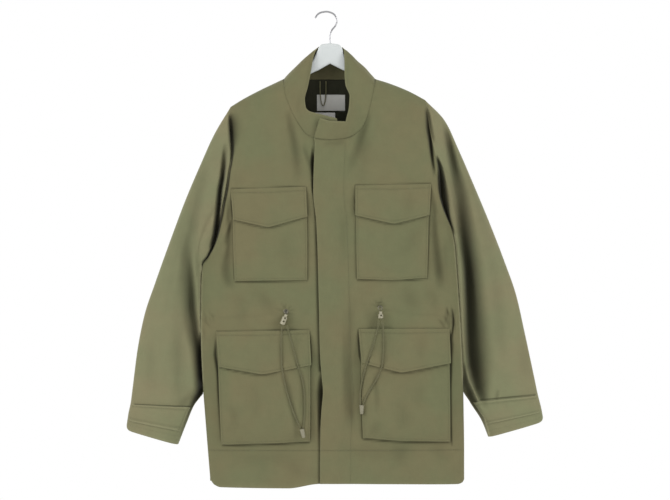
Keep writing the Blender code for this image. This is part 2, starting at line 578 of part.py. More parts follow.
# the band starts a seam's width inside the neckline
inx, ind = 8.0 - sx, np.where((around > 8.2) & (around < 11.8), 90.0, 178.0) - sd
size = np.hypot(inx, ind)
sx, sd = sx + (SEAM + 0.4) * inx / size, sd + (SEAM + 0.4) * ind / size
over = np.clip((around - 17.2) / 0.8, 0, 1)
over = over * over * (3 - 2 * over)
lap = (COLLAR_CLOTH + LAY + 1.2) * over
outer = np.zeros((len(up), len(around), 3))
for i, v in enumerate(up):
    stand = 2.5 * math.sin(math.pi * v)
    outer[i] = xyz(sx + (tx - sx) * v, sy + (ty - sy) * v - lap, sd + (td - sd) * v)
middle = np.array([8.0, -8.0, 0.0])
toward = outer - np.stack([np.full(len(around), middle[0]), np.full(len(around), middle[1]),
                           outer[1, :, 2]], axis=-1)[None]
n = normals(outer, False, toward)
inner = outer - COLLAR_CLOTH * n
inner[0, :, 2] = np.maximum(inner[0, :, 2], outer[0, :, 2])
wall("collar", outer, inner, False, OLIVE)

# ------------------------------------------------------------------ inside the neck
rows = np.array([134.5, 150, 180, 220, 262, 300])
x, d = np.meshgrid(np.linspace(-66, 82, 9), rows)
x = 8 + (x - 8) * np.where(d < 140, 0.9, 1.0)
laid("back_facing", x, d, 0 * x, tree("back"), 1.2, DARK, 7.0)
inside = tree("back_facing")


def on_facing(name, x0, x1, d0, d1, thick, lift, finish):
    gx, gd = np.meshgrid(np.linspace(x0, x1, 4), np.linspace(d0, d1, 3))
    gy = np.array([[front_of(inside, gx[i, j], gd[i, j], 3.0) for j in range(4)]
                   for i in range(3)]) - LAY - lift
    wall(name, xyz(gx, gy - thick, gd), xyz(gx, gy, gd), False, finish)


on_facing("neck_label", -19, 37, 164, 196, 1.0, 0.0, LABEL)
on_facing("size_tag", -25, 17, 200, 214, 1.0, 0.0, LABEL)


def tube(name, points, radius, finish, sides=2):
    curve = bpy.data.curves.new(name, "CURVE")
    curve.dimensions = "3D"
    curve.bevel_depth = radius * M
    curve.bevel_resolution = sides
    curve.use_fill_caps = True
    line = curve.splines.new("POLY")
    line.points.add(len(points) - 1)
    for p, q in zip(line.points, points):
        p.co = (q[0] * M, q[1] * M, q[2] * M, 1)
    curve.materials.append(material(*finish))
    obj = bpy.data.objects.new(name, curve)
    bpy.context.collection.objects.link(obj)
    PARTS[name] = obj
    return obj


# the hanging loop: a soft round cord sewn in at the neck seam, hanging as a U
loop = []
for k in range(17):
    a = math.pi * k / 16
    loop.append((-7 - 6.0 * math.cos(a), 18.0 + 1.5 * math.sin(a), -(146 + 40 * math.sin(a)**0.8)))
tube("hang_loop", loop, 1.0, DARK)

# ------------------------------------------------------------------ drawcords and fittings
for name, t in STRANDS.items():
    steps = np.linspace(t.key[0], t.key[-1], 30)
    tube(name, [(float(t.at("x", s)), float(t.at("y", s)), -float(s)) for s in steps], CORD_R,
         OLIVE)


def turned(name, profile, sides, finish, place, turn=(0, 0, 0)):
    """A closed turned solid from (radius, height) rows; a ring where it starts off the axis."""
    verts, tri = [], []
    ring = profile[0][0] > 0
    m = len(profile)
    for r, h in profile:
        for k in range(sides):
            a = 2 * math.pi * k / sides
            verts.append((r * math.cos(a), r * math.sin(a), h))
    last = m if ring else m - 1
    for i in range(last):
        for k in range(sides):
            a, b = i * sides + k, i * sides + (k + 1) % sides
            c, e = ((i + 1) % m) * sides + (k + 1) % sides, ((i + 1) % m) * sides + k
            tri += [(a, b, c), (a, c, e)]
    bm = bmesh.new()
    vs = [bm.verts.new([q * M for q in p]) for p in verts]
    for f in tri:
        bm.faces.new([vs[i] for i in f])
    bmesh.ops.remove_doubles(bm, verts=bm.verts, dist=1e-6)
    bmesh.ops.recalc_face_normals(bm, faces=bm.faces)
    mesh = bpy.data.meshes.new(name)
    bm.to_mesh(mesh)
    bm.free()
    mesh.materials.append(material(*finish))
    mesh.shade_smooth()
    mesh.set_sharp_from_angle(angle=math.radians(35))
    obj = bpy.data.objects.new(name, mesh)
    obj.location = [q * M for q in place]
    obj.rotation_euler = [math.radians(q) for q in turn]
    bpy.context.collection.objects.link(obj)
    PARTS[name] = obj
    return obj


for side, x, d in (("left", -81, 599), ("right", 107, 592)):
    y = front_of(fronts, x, d, 5.0) - LAY
    turned(f"eyelet_{side}", [(2.6, 0), (5.0, 0), (5.0, 0.5), (4.0, 1.1), (3.2, 1.1), (2.6, 0.6)],
           16, EYELET, (x, y, -d), (90, 0, 0))

# cord locks: a barrel across the strands, with a plunger in its end
for side, x, y, d, tilt in (("left", -84.5, -44.2, 614.5, 22), ("right", 108, -44.2, 605.5, 0)):
    long = 22.0 if side == "left" else 14.0
    profile = [(0, 0), (3.9, 0), (5.2, 1.3), (5.2, long - 5.2), (4.2, long - 4.2),
               (3.1, long - 4.0), (3.1, long - 0.8), (2.4, long), (0, long)]
    turned(f"cord_lock_{side}", profile, 16, BEIGE,
           (x - long / 2 * math.sin(math.radians(tilt)), y, -d - long / 2 * math.cos(math.radians(tilt))),
           (0, tilt, 0))

for side, x, y, d, tilt in (("left", -49.2, -58.8, 832.4, 14), ("right", 70.2, -51.2, 785.0, 0)):
    profile = [(0, 0), (4.3, 0), (4.6, -1.2), (3.6, -16), (2.8, -18), (0, -18)]
    turned(f"cord_end_{side}", profile, 12, BEIGE, (x, y, -d), (0, -tilt, 0))

# ------------------------------------------------------------------ hanger
xs = HANGER.key
verts, tri = [], []
for x in xs:
    top, low, half = (float(HANGER.at(c, x)) for c in ("top", "low", "half"))
    r = min(half * 0.75, (low - top) * 0.35)
    for y, z in ((-half, top + r), (-half + r * 0.35, top + r * 0.3), (-half + r, top),
                 (half - r, top), (half - r * 0.35, top + r * 0.3), (half, top + r),
                 (half, low - r), (half - r * 0.35, low - r * 0.3), (half - r, low),
                 (-half + r, low), (-half + r * 0.35, low - r * 0.3), (-half, low - r)):
        verts.append((x, y, -z))
k = 12
for i in range(len(xs) - 1):
    for j in range(k):
        a, b = i * k + j, i * k + (j + 1) % k
        tri += [(a, b, b + k), (a, b + k, a + k)]
for j in range(1, k - 1):
    tri.append((0, j + 1, j))
    base = (len(xs) - 1) * k
    tri.append((base, base + j, base + j + 1))
add("hanger_body", verts, tri, WHITE)

steps = np.linspace(0, 11, 45)
tube("hanger_hook", [(float(HOOK.at("x", s)), 0.0, -float(HOOK.at("drop", s))) for s in steps],
     HOOK_R, CHROME, 3)
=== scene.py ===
"""Looks of the raincoat on its hanger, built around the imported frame. Tables are in millimetres:
x to the right seen from the front, drop = how far below the hook's inner top, y = to the back."""

import math

import bmesh
import bpy
import numpy as np
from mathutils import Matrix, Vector


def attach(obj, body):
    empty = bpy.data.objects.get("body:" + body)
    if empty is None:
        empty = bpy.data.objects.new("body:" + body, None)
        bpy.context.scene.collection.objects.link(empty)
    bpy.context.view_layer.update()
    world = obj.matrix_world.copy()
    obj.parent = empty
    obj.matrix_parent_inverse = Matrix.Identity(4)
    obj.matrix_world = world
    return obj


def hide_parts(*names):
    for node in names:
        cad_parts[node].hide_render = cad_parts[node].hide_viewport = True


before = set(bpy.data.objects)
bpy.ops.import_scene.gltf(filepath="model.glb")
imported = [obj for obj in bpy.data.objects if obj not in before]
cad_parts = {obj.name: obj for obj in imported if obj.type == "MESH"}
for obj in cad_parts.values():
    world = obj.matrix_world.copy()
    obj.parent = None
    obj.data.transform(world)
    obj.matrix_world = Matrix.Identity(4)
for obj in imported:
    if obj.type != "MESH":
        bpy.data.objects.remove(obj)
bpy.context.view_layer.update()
M = 0.001

# ------------------------------------------------------------------ camera
camera = bpy.data.objects.new("camera", bpy.data.cameras.new("camera"))
bpy.context.collection.objects.link(camera)
camera.location = (0.017, -8.02, -0.476)
camera.rotation_euler = (math.radians(90), 0, 0)
camera.data.sensor_width = 36.0
camera.data.lens = 36.0 * 8.0 / 1.34
camera.data.clip_end = 60.0
bpy.context.scene.camera = camera

# ------------------------------------------------------------------ driving sizes, mm
CLOTH = 2.0
COLLAR_CLOTH = 2.6
TRIM_CLOTH = 1.6
SEAM = 0.5
LAY = 0.4
SHOULDER_ROUND = 32.0
ARMHOLE_FRONT = 30.0
ARMHOLE_BACK = 26.0
PLACKET_WIDTH = 62.0
CORD_R = 1.5
HOOK_R = 1.8


# ------------------------------------------------------------------ tables
class Table:
    """A short table with named columns; at() reads a column smoothly, without overshoot."""

    def __init__(self, columns, rows):
        self.col = {c: np.array([r[i] for r in rows], float) for i, c in enumerate(columns)}
        self.key = self.col[columns[0]]

    def at(self, name, where):
        x, y = self.key, self.col[name]
        t = np.clip(np.asarray(where, float), x[0], x[-1])
        h = np.diff(x)
        d = np.diff(y) / h
        m = np.zeros_like(y)
        m[0], m[-1] = d[0], d[-1]
        for k in range(1, len(y) - 1):
            if d[k - 1] * d[k] > 0:
                a, b = 2 * h[k] + h[k - 1], h[k] + 2 * h[k - 1]
                m[k] = (a + b) / (a / d[k - 1] + b / d[k])
        k = np.clip(np.searchsorted(x, t, side="right") - 1, 0, len(x) - 2)
        s = (t - x[k]) / h[k]
        return ((2 * s**3 - 3 * s**2 + 1) * y[k] + (s**3 - 2 * s**2 + s) * h[k] * m[k]
                + (3 * s**2 - 2 * s**3) * y[k + 1] + (s**3 - s**2) * h[k] * m[k + 1])


# side edges of the body (armhole, then side seam) and how far it stands out front and back
BODY = Table(("drop", "left", "right", "front", "back"), [
    (175, -192, 197, 35, 28),
    (192, -192, 200, 37, 29),
    (236, -190, 207, 41, 32),
    (280, -188, 216, 43, 34),
    (316, -193, 224.5, 44, 35),
    (346, -197, 226.5, 44, 35),
    (366, -200.4, 227.8, 44, 35),
    (388, -205.4, 233, 43, 35),
    (406, -208.6, 239.6, 43, 35),
    (424, -212.2, 247.6, 42, 34),
    (440, -215.6, 254, 42, 34),
    (470, -225.2, 258, 41, 34),
    (490, -236.8, 259.6, 40, 34),
    (506, -249.6, 261, 40, 33),
    (576, -252, 266, 39, 33),
    (642, -252, 270, 39, 33),
    (746, -248, 274, 41, 35),
    (800, -244, 275, 42, 36),
    (876, -238, 276, 44, 38),
    (960, -231, 276, 46, 40)])
# the line of the shoulders, carried on across the neck
RIDGE = Table(("x", "drop"), [
    (-215, 203), (-192, 189), (-173, 177), (-135, 156.5), (-93, 136.5), (-86, 133.2), (-40, 112),
    (9, 100), (60, 113), (98, 133.2), (117, 139), (161, 156), (197, 175), (225, 192)])
ARMHOLE = {"left": (189.0, 506.0), "right": (175.0, 440.0)}
# neckline of the fronts, from the left neck point down and up to the right one
NECK_FRONT = Table(("part", "x", "drop"), [
    (0.00, -86, 133.5), (0.08, -84, 160), (0.16, -76, 184), (0.24, -66, 207), (0.31, -54, 227),
    (0.37, -40, 245), (0.43, -22, 253), (0.52, 8, 256), (0.62, 42, 252), (0.69, 60, 243),
    (0.74, 71, 232), (0.80, 80, 214), (0.86, 87, 190), (0.93, 93, 162), (1.00, 98, 133.5)])
CENTRE = Table(("drop", "x"), [(240, 8), (500, 10), (650, 14), (960, 18)])
PLACKET_EDGE = Table(("drop", "x"), [
    (250, -25), (264, -23), (288, -24), (360, -26), (420, -20), (462, -18), (576, -15),
    (685, -12.5), (726, -9.5), (758, -6.6), (794, -9.4), (842, -11.8), (940, -12.4)])
HEM = {
    "front": Table(("x", "drop"), [
        (-231, 938), (-225, 945), (-212, 950), (-77, 951), (-13, 942), (18, 942), (150, 943),
        (262, 944), (272, 941), (276, 935)]),
    "back": Table(("x", "drop"), [
        (-231, 938), (-225, 944), (-212, 948), (9, 946), (262, 944), (272, 941), (276, 935)])}
# large folds of the body: a soft ridge (+) or trough (-) along a line, "wide" across it
FOLDS = [dict(zip(("side", "x0", "d0", "x1", "d1", "wide", "deep"), r)) for r in [
    ("front", -74, 215, -60, 345, 16, -3.5),
    ("front", -52, 262, -34, 330, 13, 2.5),
    ("front", 82, 225, 56, 330, 16, -3.5),
    ("front", 62, 262, 30, 300, 13, 2.5),
    ("front", 58, 560, 50, 880, 16, -3.0),
    ("front", 34, 600, 30, 860, 12, 2.0),
    ("front", -232, 560, -120, 602, 14, -2.5),
    ("front", 250, 560, 150, 598, 14, -2.5),
    ("front", -238, 880, -226, 940, 14, -2.5),
    ("back", -95, 200, -70, 470, 22, -3.5),
    ("back", 110, 210, 92, 500, 24, -3.5),
    ("back", 12, 330, 2, 700, 26, 3.0),
    ("back", -150, 590, -165, 900, 24, 4.0),
    ("back", -60, 640, -66, 930, 22, -4.0),
    ("back", 86, 620, 98, 930, 24, 4.0),
    ("back", 180, 600, 200, 920, 22, -3.5),
    ("back", -235, 600, -90, 612, 13, -3.0),
    ("back", 255, 600, 110, 608, 13, -3.0)]]
# sections of the sleeves: outer and inner point, half depths, how far back they hang, and how
# much further back the inner side lies, behind the edge of the body
SLEEVES = {
    "left": Table(("at", "ox", "od", "ix", "id", "front", "back", "y", "tuck"), [
        (0, -192, 189, -250, 506, 30, 26, 0, 0), (1, -225, 244, -252.6, 513, 29, 27, 3, 3),
        (2, -255, 310, -253.6, 527, 33, 30, 3, 11), (3, -283, 376, -250.4, 548, 34, 31, 3, 20),
        (4, -313, 456, -248, 582, 33, 30, 3, 20), (5, -343, 540, -247, 626, 31, 28, 2, 20),
        (6, -365, 606, -246.5, 672, 29, 27, 1, 20), (7, -379, 676, -245, 718, 28, 26, 0, 20),
        (8, -388, 746, -246, 755, 27, 25, 0, 18), (9, -393, 784, -267, 790, 26, 24, 0, 8),
        (10, -397, 802, -281, 824, 26, 24, 0, 2), (11, -400, 823, -297, 865, 26, 24, 0, 0)]),
    "right": Table(("at", "ox", "od", "ix", "id", "front", "back", "y", "tuck"), [
        (0, 197, 175, 254, 440, 30, 26, 0, 0), (1, 236.6, 216, 257.2, 450, 29, 27, 3, 3),
        (2, 265.4, 276, 257.5, 468, 33, 30, 3, 14), (3, 295.6, 346, 256.8, 494, 34, 31, 3, 20),
        (4, 325.6, 418, 259.5, 534, 33, 30, 3, 20), (5, 355.8, 496, 263, 588, 31, 28, 2, 20),
        (6, 380.2, 566, 266, 642, 29, 27, 1, 20), (7, 397, 640, 269, 692, 28, 26, 0, 20),
        (8, 415.8, 728, 271.5, 750, 27, 25, 0, 18), (9, 423.8, 766, 287, 780, 26, 24, 0, 8),
        (10, 430.4, 792, 311, 818, 26, 24, 0, 2), (11, 433.6, 809, 324, 850, 26, 24, 0, 0)])}
# folds of the sleeves: along "at", at an angle round the section (0 outer, 90 front, 180 inner)
SLEEVE_FOLDS = [dict(zip(("side", "at0", "ang0", "at1", "ang1", "wide", "deep"), r)) for r in [
    ("left", 0.5, 96, 3.5, 140, 15, -3.0), ("left", 2.2, 60, 6.0, 82, 16, 3.0),
    ("left", 4.5, 128, 7.8, 150, 14, -3.5), ("left", 1.0, 262, 6.0, 240, 18, -4.0),
    ("left", 4.0, 292, 9.5, 284, 16, 3.0),
    ("right", 0.6, 92, 3.6, 118, 15, -3.0), ("right", 3.0, 126, 8.6, 142, 14, -4.0),
    ("right", 2.2, 60, 6.0, 76, 16, 3.0), ("right", 1.0, 258, 6.5, 244, 18, -4.0),
    ("right", 4.2, 300, 9.0, 288, 16, 3.0)]]
# collar: where each line starts on the neckline, and where it ends on the top edge
COLLAR = Table(("at", "sx", "sd", "tx", "ty", "td"), [
    (0, 30, 256, 20, -50, 214), (1, 4, 256, -4, -51, 208), (2, -24, 252.5, -24, -50, 203),
    (3, -42, 243, -36, -46, 199), (4, -56, 224, -43, -41, 189), (5, -68, 203, -44, -34, 174),
    (6, -78, 179, -38, -26, 152), (7, -84, 158, -31, -17, 118), (7.5, -85.5, 145, -27, -13, 93),
    (8, -86, 133.5, -22, -4, 74), (9, -50, 132.5, -13, 21, 66), (10, 9, 132.5, 8, 29, 64),
    (11, 66, 132.5, 27, 21, 66), (12, 98, 133.5, 36, -4, 75), (12.5, 96.5, 145, 36, -13, 91),
    (13, 94, 158, 36, -17, 115), (14, 87, 188, 38, -26, 144), (15, 80, 213, 47, -34, 168),
    (16, 71, 232, 46, -42, 190), (17, 60, 243, 42, -50, 209), (18, 44, 251, 39, -55, 221),
    (19, 8, 256, 9, -58, 220), (20, -25, 252, -13, -57, 214)])
POCKETS = [dict(zip(("name", "xl_top", "xr_top", "xl_low", "xr_low", "d_top", "d_left", "d_mid",
                     "d_right", "bulge", "front"), r)) for r in [
    ("chest_pocket_left", -187.4, -40.4, -183.6, -38.4, 366, 538, 537, 536, 3.5, "front_left"),
    ("chest_pocket_right", 59.8, 204.0, 60.6, 201.0, 360, 534, 536, 532, 3.5, "front_right"),
    ("lower_pocket_left", -217.5, -33.5, -210.0, -33.0, 653, 865, 862, 858, 14.0, "front_left"),
    ("lower_pocket_right", 68.5, 244.0, 72.4, 247.5, 649, 851, 857, 859, 14.0, "front_right")]]
FLAPS = [dict(zip(("name", "xl", "xr", "dl", "dr", "bxl", "bdl", "bxm", "bdm", "bxr", "bdr",
                   "pocket"), r)) for r in [
    ("chest_flap_left", -191, -41.2, 354.8, 350.2, -186, 415, -116.2, 430, -38.5, 409,
     "chest_pocket_left"),
    ("chest_flap_right", 57.8, 208.6, 347.4, 344.6, 57.8, 406.6, 134.6, 423.2, 205.5, 405.8,
     "chest_pocket_right"),
    ("lower_flap_left", -220.8, -34.2, 639.6, 636, -213.6, 709.2, -127.6, 723.2, -30.6, 705,
     "lower_pocket_left"),
    ("lower_flap_right", 64, 245.8, 633.6, 633.6, 70.5, 700.6, 150, 719.6, 248, 701.4,
     "lower_pocket_right")]]
# hanger: upper and lower edge and half thickness across its span
HANGER = Table(("x", "top", "low", "half"), [
    (-189, 198, 204, 3.5), (-186, 194.5, 210, 6.0), (-173, 186, 206, 7.0), (-135, 166, 187, 7.0),
    (-86, 144.5, 163, 6.5), (-60, 127, 143, 5.5), (-35, 105, 125, 5.0), (-25, 90, 119.5, 5.0),
    (-17, 74, 116, 5.0), (-14, 67.5, 114.5, 5.0), (-8, 63.2, 111, 5.0), (7, 62, 102.6, 5.0),
    (22, 63.2, 110, 5.0), (29, 67.5, 113.5, 5.0), (32, 74, 115, 5.0), (37, 90, 117.5, 5.0),
    (48, 107, 125, 5.0), (72, 128, 143, 5.5), (98, 144.5, 163, 6.5), (140, 159, 180, 7.0),
    (185, 179.5, 200, 7.0), (196, 188, 204, 6.0), (199, 192, 198, 3.5)])
HOOK = Table(("at", "x", "drop"), [
    (0, -23, 11.2), (1, -18.6, 4.4), (2, -10.5, -0.4), (3, 0, -1.9), (4, 10.6, 0.8),
    (5, 18.2, 7.4), (6, 20.7, 16.2), (7, 17.6, 26.2), (8, 11.0, 34.6), (9, 7.6, 42),
    (10, 7.0, 50), (11, 7.0, 61.6)])
# drawcord strands, from the lock down to the cord end
STRANDS = {
    "drawcord_left_a": Table(("drop", "x", "y"), [
        (627, -89.0, -44.6), (638, -89.5, -47.6), (649, -89.8, -52.2), (668, -90, -55.8),
        (706, -89, -59.2), (740, -83, -57.8), (790, -69, -58.0), (824, -55, -58.6),
        (830.5, -51.6, -58.8)]),
    "drawcord_left_b": Table(("drop", "x", "y"), [
        (627, -79.0, -44.6), (638, -75.8, -47.8), (649, -72.6, -52.2), (668, -67, -55.6),
        (706, -57, -58.6), (740, -47, -53.4), (776, -43.5, -52.8), (812, -44.6, -55.6),
        (830.5, -46.8, -58.6)]),
    "drawcord_right_a": Table(("drop", "x", "y"), [
        (614, 111.0, -44.6), (633, 113, -47.2), (646, 113.4, -51.8), (668, 113.5, -55.8),
        (704, 111, -58.8), (730, 101, -56.2), (756, 86, -53.4), (776, 75.6, -51.4),
        (784.5, 72.6, -51.2)]),
    "drawcord_right_b": Table(("drop", "x", "y"), [
        (614, 105.0, -44.6), (633, 101.8, -47.4), (646, 98.4, -51.8), (668, 92, -55.4),
        (704, 80, -55.4), (730, 72.5, -48.4), (756, 68.0, -47.2), (776, 67.4, -49.8),
        (784.5, 67.8, -51.2)])}


def sag(x, d, folds):
    """How far the folds push the cloth out at x, drop."""
    out = np.zeros(np.broadcast(x, d).shape)
    for f in folds:
        vx, vd = f["x1"] - f["x0"], f["d1"] - f["d0"]
        n2 = vx * vx + vd * vd
        t = ((x - f["x0"]) * vx + (d - f["d0"]) * vd) / n2
        across = (x - f["x0"]) * vd - (d - f["d0"]) * vx
        across = across / math.sqrt(n2)
        tt = np.clip(t, 0, 1)
        end = np.sqrt(n2) * np.abs(t - tt)
        fade = np.sin(np.pi * np.clip(tt, 0.02, 0.98)) ** 0.6
        out = out + f["deep"] * fade * np.exp(-(across / f["wide"])**2 - (end / f["wide"])**2)
    return out


# ------------------------------------------------------------------ creases
def smooth_line(rows, n=26):
    """Points along a smooth curve through the rows, all columns together."""
    p = np.array(rows, float)
    if len(p) == 2:
        t = np.linspace(0, 1, 8)[:, None]
        return p[0] * (1 - t) + p[1] * t
    step = np.hypot(*np.diff(p[:, :2], axis=0).T)
    s = np.concatenate([[0], np.cumsum(step)])
    t = Table(["s"] + [str(k) for k in range(p.shape[1])],
              [[a, *row] for a, row in zip(s, p)])
    where = np.linspace(0, s[-1], n)
    return np.stack([t.at(str(k), where) for k in range(p.shape[1])], axis=1)


class Crease:
    """A trough (deep < 0) or ridge (> 0) along a line, with painted shade along it; minus and plus are its two half
    widths.
    """

    def __init__(self, on, shade, power, rows):
        self.on, self.power = on.split(), power
        line = smooth_line(rows)
        if line.shape[1] == 5:  # shade in proportion to the depth
            most = max(1e-6, np.abs(line[:, 4]).max())
            line = np.concatenate([line, shade * np.abs(line[:, 4:5]) / most], axis=1)
        self.line = line
        reach = 2.6 * self.line[:, 2:4].max()
        self.low = self.line[:, :2].min(0) - reach
        self.high = self.line[:, :2].max(0) + reach

    def push(self, x, d):
        """Displacement and painted shade at each x, drop."""
        shape = x.shape
        x, d = x.ravel(), d.ravel()
        out, dark = np.zeros(x.size), np.zeros(x.size)
        near = np.flatnonzero((x > self.low[0]) & (x < self.high[0])
                              & (d > self.low[1]) & (d < self.high[1]))
        if not near.size:
            return out.reshape(shape), dark.reshape(shape)
        px, pd = x[near], d[near]
        best = np.full(near.size, 1e9)
        sign, at = np.zeros(near.size), np.zeros((near.size, 4))
        a, b = self.line[:-1], self.line[1:]
        for p, q in zip(a, b):
            v = q[:2] - p[:2]
            n2 = max(1e-9, (v * v).sum())
            t = np.clip(((px - p[0]) * v[0] + (pd - p[1]) * v[1]) / n2, 0, 1)
            dx, dd = px - p[0] - t * v[0], pd - p[1] - t * v[1]
            dist = np.hypot(dx, dd)
            closer = dist < best
            best = np.where(closer, dist, best)
            sign = np.where(closer, dx * v[1] - dd * v[0], sign)
            at = np.where(closer[:, None], p[2:6] + t[:, None] * (q[2:6] - p[2:6]), at)
        wide = np.where(sign >= 0, at[:, 1], at[:, 0])
        fall = np.exp(-(best / np.maximum(wide, 0.1)) ** self.power)
        out[near] = at[:, 2] * fall
        dark[near] = at[:, 3] * fall
        return out.reshape(shape), dark.reshape(shape)


def creased(name, x, d, broad_only=False):
    """All creases of a piece together: displacement, and the painted shade that darkens the cloth in them."""
    x, d = np.broadcast_arrays(np.asarray(x, float), np.asarray(d, float))
    push, dark = np.zeros(x.shape), np.zeros(x.shape)
    for c in CREASES:
        if name not in c.on or (broad_only and "broad" not in c.on):
            continue
        p, k = c.push(x, d)
        push = push + p
        dark = 1 - (1 - dark) * (1 - np.clip(k, 0, 1))
    return push, dark


def uneven(x, d, seed, amp, size):
    """Slow unevenness of hanging cloth, as a sum of waves in several directions."""
    rng = np.random.RandomState(seed)
    out = np.zeros(np.broadcast(x, d).shape)
    for _ in range(7):
        a, k, ph = rng.uniform(0, math.pi), 2 * math.pi / (size * rng.uniform(0.7, 1.6)), rng.uniform(0, 6.3)
        out = out + np.sin(k * (x * math.cos(a) * 1.25 + d * math.sin(a) * 0.7) + ph)
    return amp * out / 2.6


# Painted shade: each crease darkens the cloth's colour along it by its shade, where shade falls in folds, gaps and
# beside raised edges
CREASES = []


def crease(on, shade, power, *rows):
    CREASES.append(Crease(on, shade, power, rows))


def along(side, rows, off=0.0):
    """Crease rows that follow the body's edge: drop, minus, plus, deep (and shade), shifted by off."""
    return [(float(BODY.at(side, r[0])) + off, *r) for r in rows]


# fronts: drape below the collar, beside the placket, the pockets and the armholes, with painted shade
crease("front_left broad", 0.30, 2, (-76, 196, 7, 7, 0), (-74, 214, 6, 6, -2.5), (-67, 250, 6, 7, -3.5),
       (-60, 296, 7, 8, -3.0), (-57, 350, 8, 9, 0))
crease("front_left broad", 0.0, 2, (-62, 232, 8, 8, 0), (-48, 270, 8, 8, 2.2), (-38, 320, 9, 9, 1.8), (-36, 380, 9, 9, 0))
crease("front_left broad", 0.25, 2, (-50, 262, 5, 6, 0), (-40, 284, 5, 6, -2.4), (-32, 306, 5, 6, -2.6), (-26, 336, 5, 6, 0))
crease("front_right broad", 0.34, 2, (84, 192, 8, 8, 0), (80, 214, 7, 7, -3.5), (70, 250, 8, 7, -4.5),
       (63, 278, 9, 8, -3.5), (54, 300, 9, 8, -2.0), (44, 330, 9, 8, 0))
crease("front_right broad", 0.10, 2, (86, 236, 9, 9, 0), (84, 262, 9, 9, 2.5), (76, 300, 10, 10, 2.2), (66, 350, 10, 10, 0))
crease("front_right broad", 0.16, 2, (-8, 266, 5, 5, 0), (6, 263, 5, 5, -1.2), (24, 262, 5, 5, -1.4), (42, 258, 5, 5, 0))
crease("front_right broad", 0.22, 2, (50, 556, 7, 7, 0), (48, 620, 7, 7, -1.8), (46, 700, 6, 6, -2.4), (50, 790, 6, 6, -2.6),
       (53, 850, 7, 7, 0))
crease("front_right broad", 0.16, 2, (36, 610, 5, 5, 0), (37, 680, 5, 5, -1.4), (40, 760, 5, 5, -2.0), (42, 830, 5, 5, 0))
crease("front_right broad", 0.12, 2, (34, 380, 9, 9, 0), (36, 440, 9, 9, -1.6), (34, 520, 9, 9, 0))
crease("front_right broad", 0.10, 2, (70, 560, 12, 12, 0), (96, 640, 14, 14, -1.2), (90, 700, 12, 12, 0))
crease("front_left broad", 0.14, 2, (-150, 548, 10, 10, 0), (-120, 580, 12, 12, -2.0), (-104, 612, 12, 12, 0))
crease("front_left broad", 0.10, 2, (-176, 560, 10, 10, 0), (-168, 600, 12, 12, -1.8), (-172, 634, 12, 12, 0))
crease("front_right broad", 0.14, 2, (152, 545, 11, 11, 0), (168, 575, 12, 12, -2.0), (182, 606, 12, 12, 0))
crease("front_right broad", 0.10, 2, (205, 548, 9, 9, 0), (214, 580, 10, 10, -2.2), (226, 610, 9, 9, 0))
crease("front_left broad", 0.10, 2, (-222, 880, 16, 16, 0), (-120, 892, 16, 16, -1.6), (-30, 886, 16, 16, 0))
crease("front_right broad", 0.10, 2, (10, 872, 16, 16, 0), (90, 880, 16, 16, -1.4), (230, 872, 16, 16, 0))
crease("front_right broad", 0.14, 2, (128, 866, 12, 12, 0), (150, 884, 14, 14, -1.8), (140, 915, 14, 14, 0))
crease("front_right broad", 0.12, 2, (204, 866, 12, 12, 0), (226, 880, 12, 12, -1.8), (246, 905, 12, 12, 0))
crease("front_left broad", 0.10, 2, (-66, 890, 14, 14, 0), (-60, 915, 14, 14, -1.5), (-58, 938, 14, 14, 0))
# beside the chest pockets, with painted shade
crease("front_left", 0.34, 2, (-190, 420, 4, 5, 0), (-192, 450, 5, 5, -3.5), (-195, 480, 7, 6, -4.5), (-199, 512, 11, 8, -5.5), (-195, 540, 10, 8, -4),
       (-182, 556, 8, 7, 0))
crease("front_left", 0.30, 2, (-196, 362, 4, 5, 0), (-195, 400, 5, 5, -2.6), (-196, 440, 6, 5, 0))
crease("front_right", 0.48, 2, (211, 370, 5, 4, 0), (214, 420, 6, 6, -3.5), (218, 470, 7, 8, -5.0), (224, 516, 8, 9, -5.5),
       (230, 560, 8, 8, 0))
crease("front_right", 0.14, 2, (238, 440, 8, 7, 0), (234, 500, 9, 8, 2.0), (236, 560, 9, 8, 0))
# placket gaps: the under side falls away from the upper one, with painted shade in the gap
crease("front_left", 0, 2.4, (-27.4, 268, 2, 20, 0, 0.1), (-27.6, 282, 2.4, 20, -3, 0.35), (-27.6, 292, 3.2, 20, -7, 0.9), (-27.2, 304, 3.8, 20, -8, 0.98),
       (-26.6, 320, 3.4, 20, -6, 0.96), (-26.4, 330, 3.8, 20, -4, 0.6), (-25.8, 338, 3.6, 20, -6, 0.85), (-25.2, 350, 3.4, 20, -7, 0.98),
       (-24.4, 362, 2.8, 20, -5, 0.92), (-23, 376, 2.4, 20, -3, 0.75), (-21.2, 410, 2.2, 20, -1.5, 0.6))
crease("front_left", 0.75, 2, (-21, 412, 3, 20, -1.0), (-18.5, 462, 3.5, 20, -2.4), (-17, 520, 3.5, 20, -2.0),
       (-15.5, 580, 3.5, 20, -2.4), (-14, 650, 3.5, 20, -2.0), (-11, 715, 4, 20, -3.0))
crease("front_left", 0.95, 2, (-11, 722, 4, 20, 0), (-9.0, 742, 7, 20, -7), (-8.2, 762, 9, 20, -11), (-9.5, 786, 7, 20, -10),
       (-11.2, 812, 5, 20, -8), (-12.2, 842, 4, 20, -4), (-12.6, 880, 3, 20, -2.2), (-12.8, 944, 3, 20, -2.2))
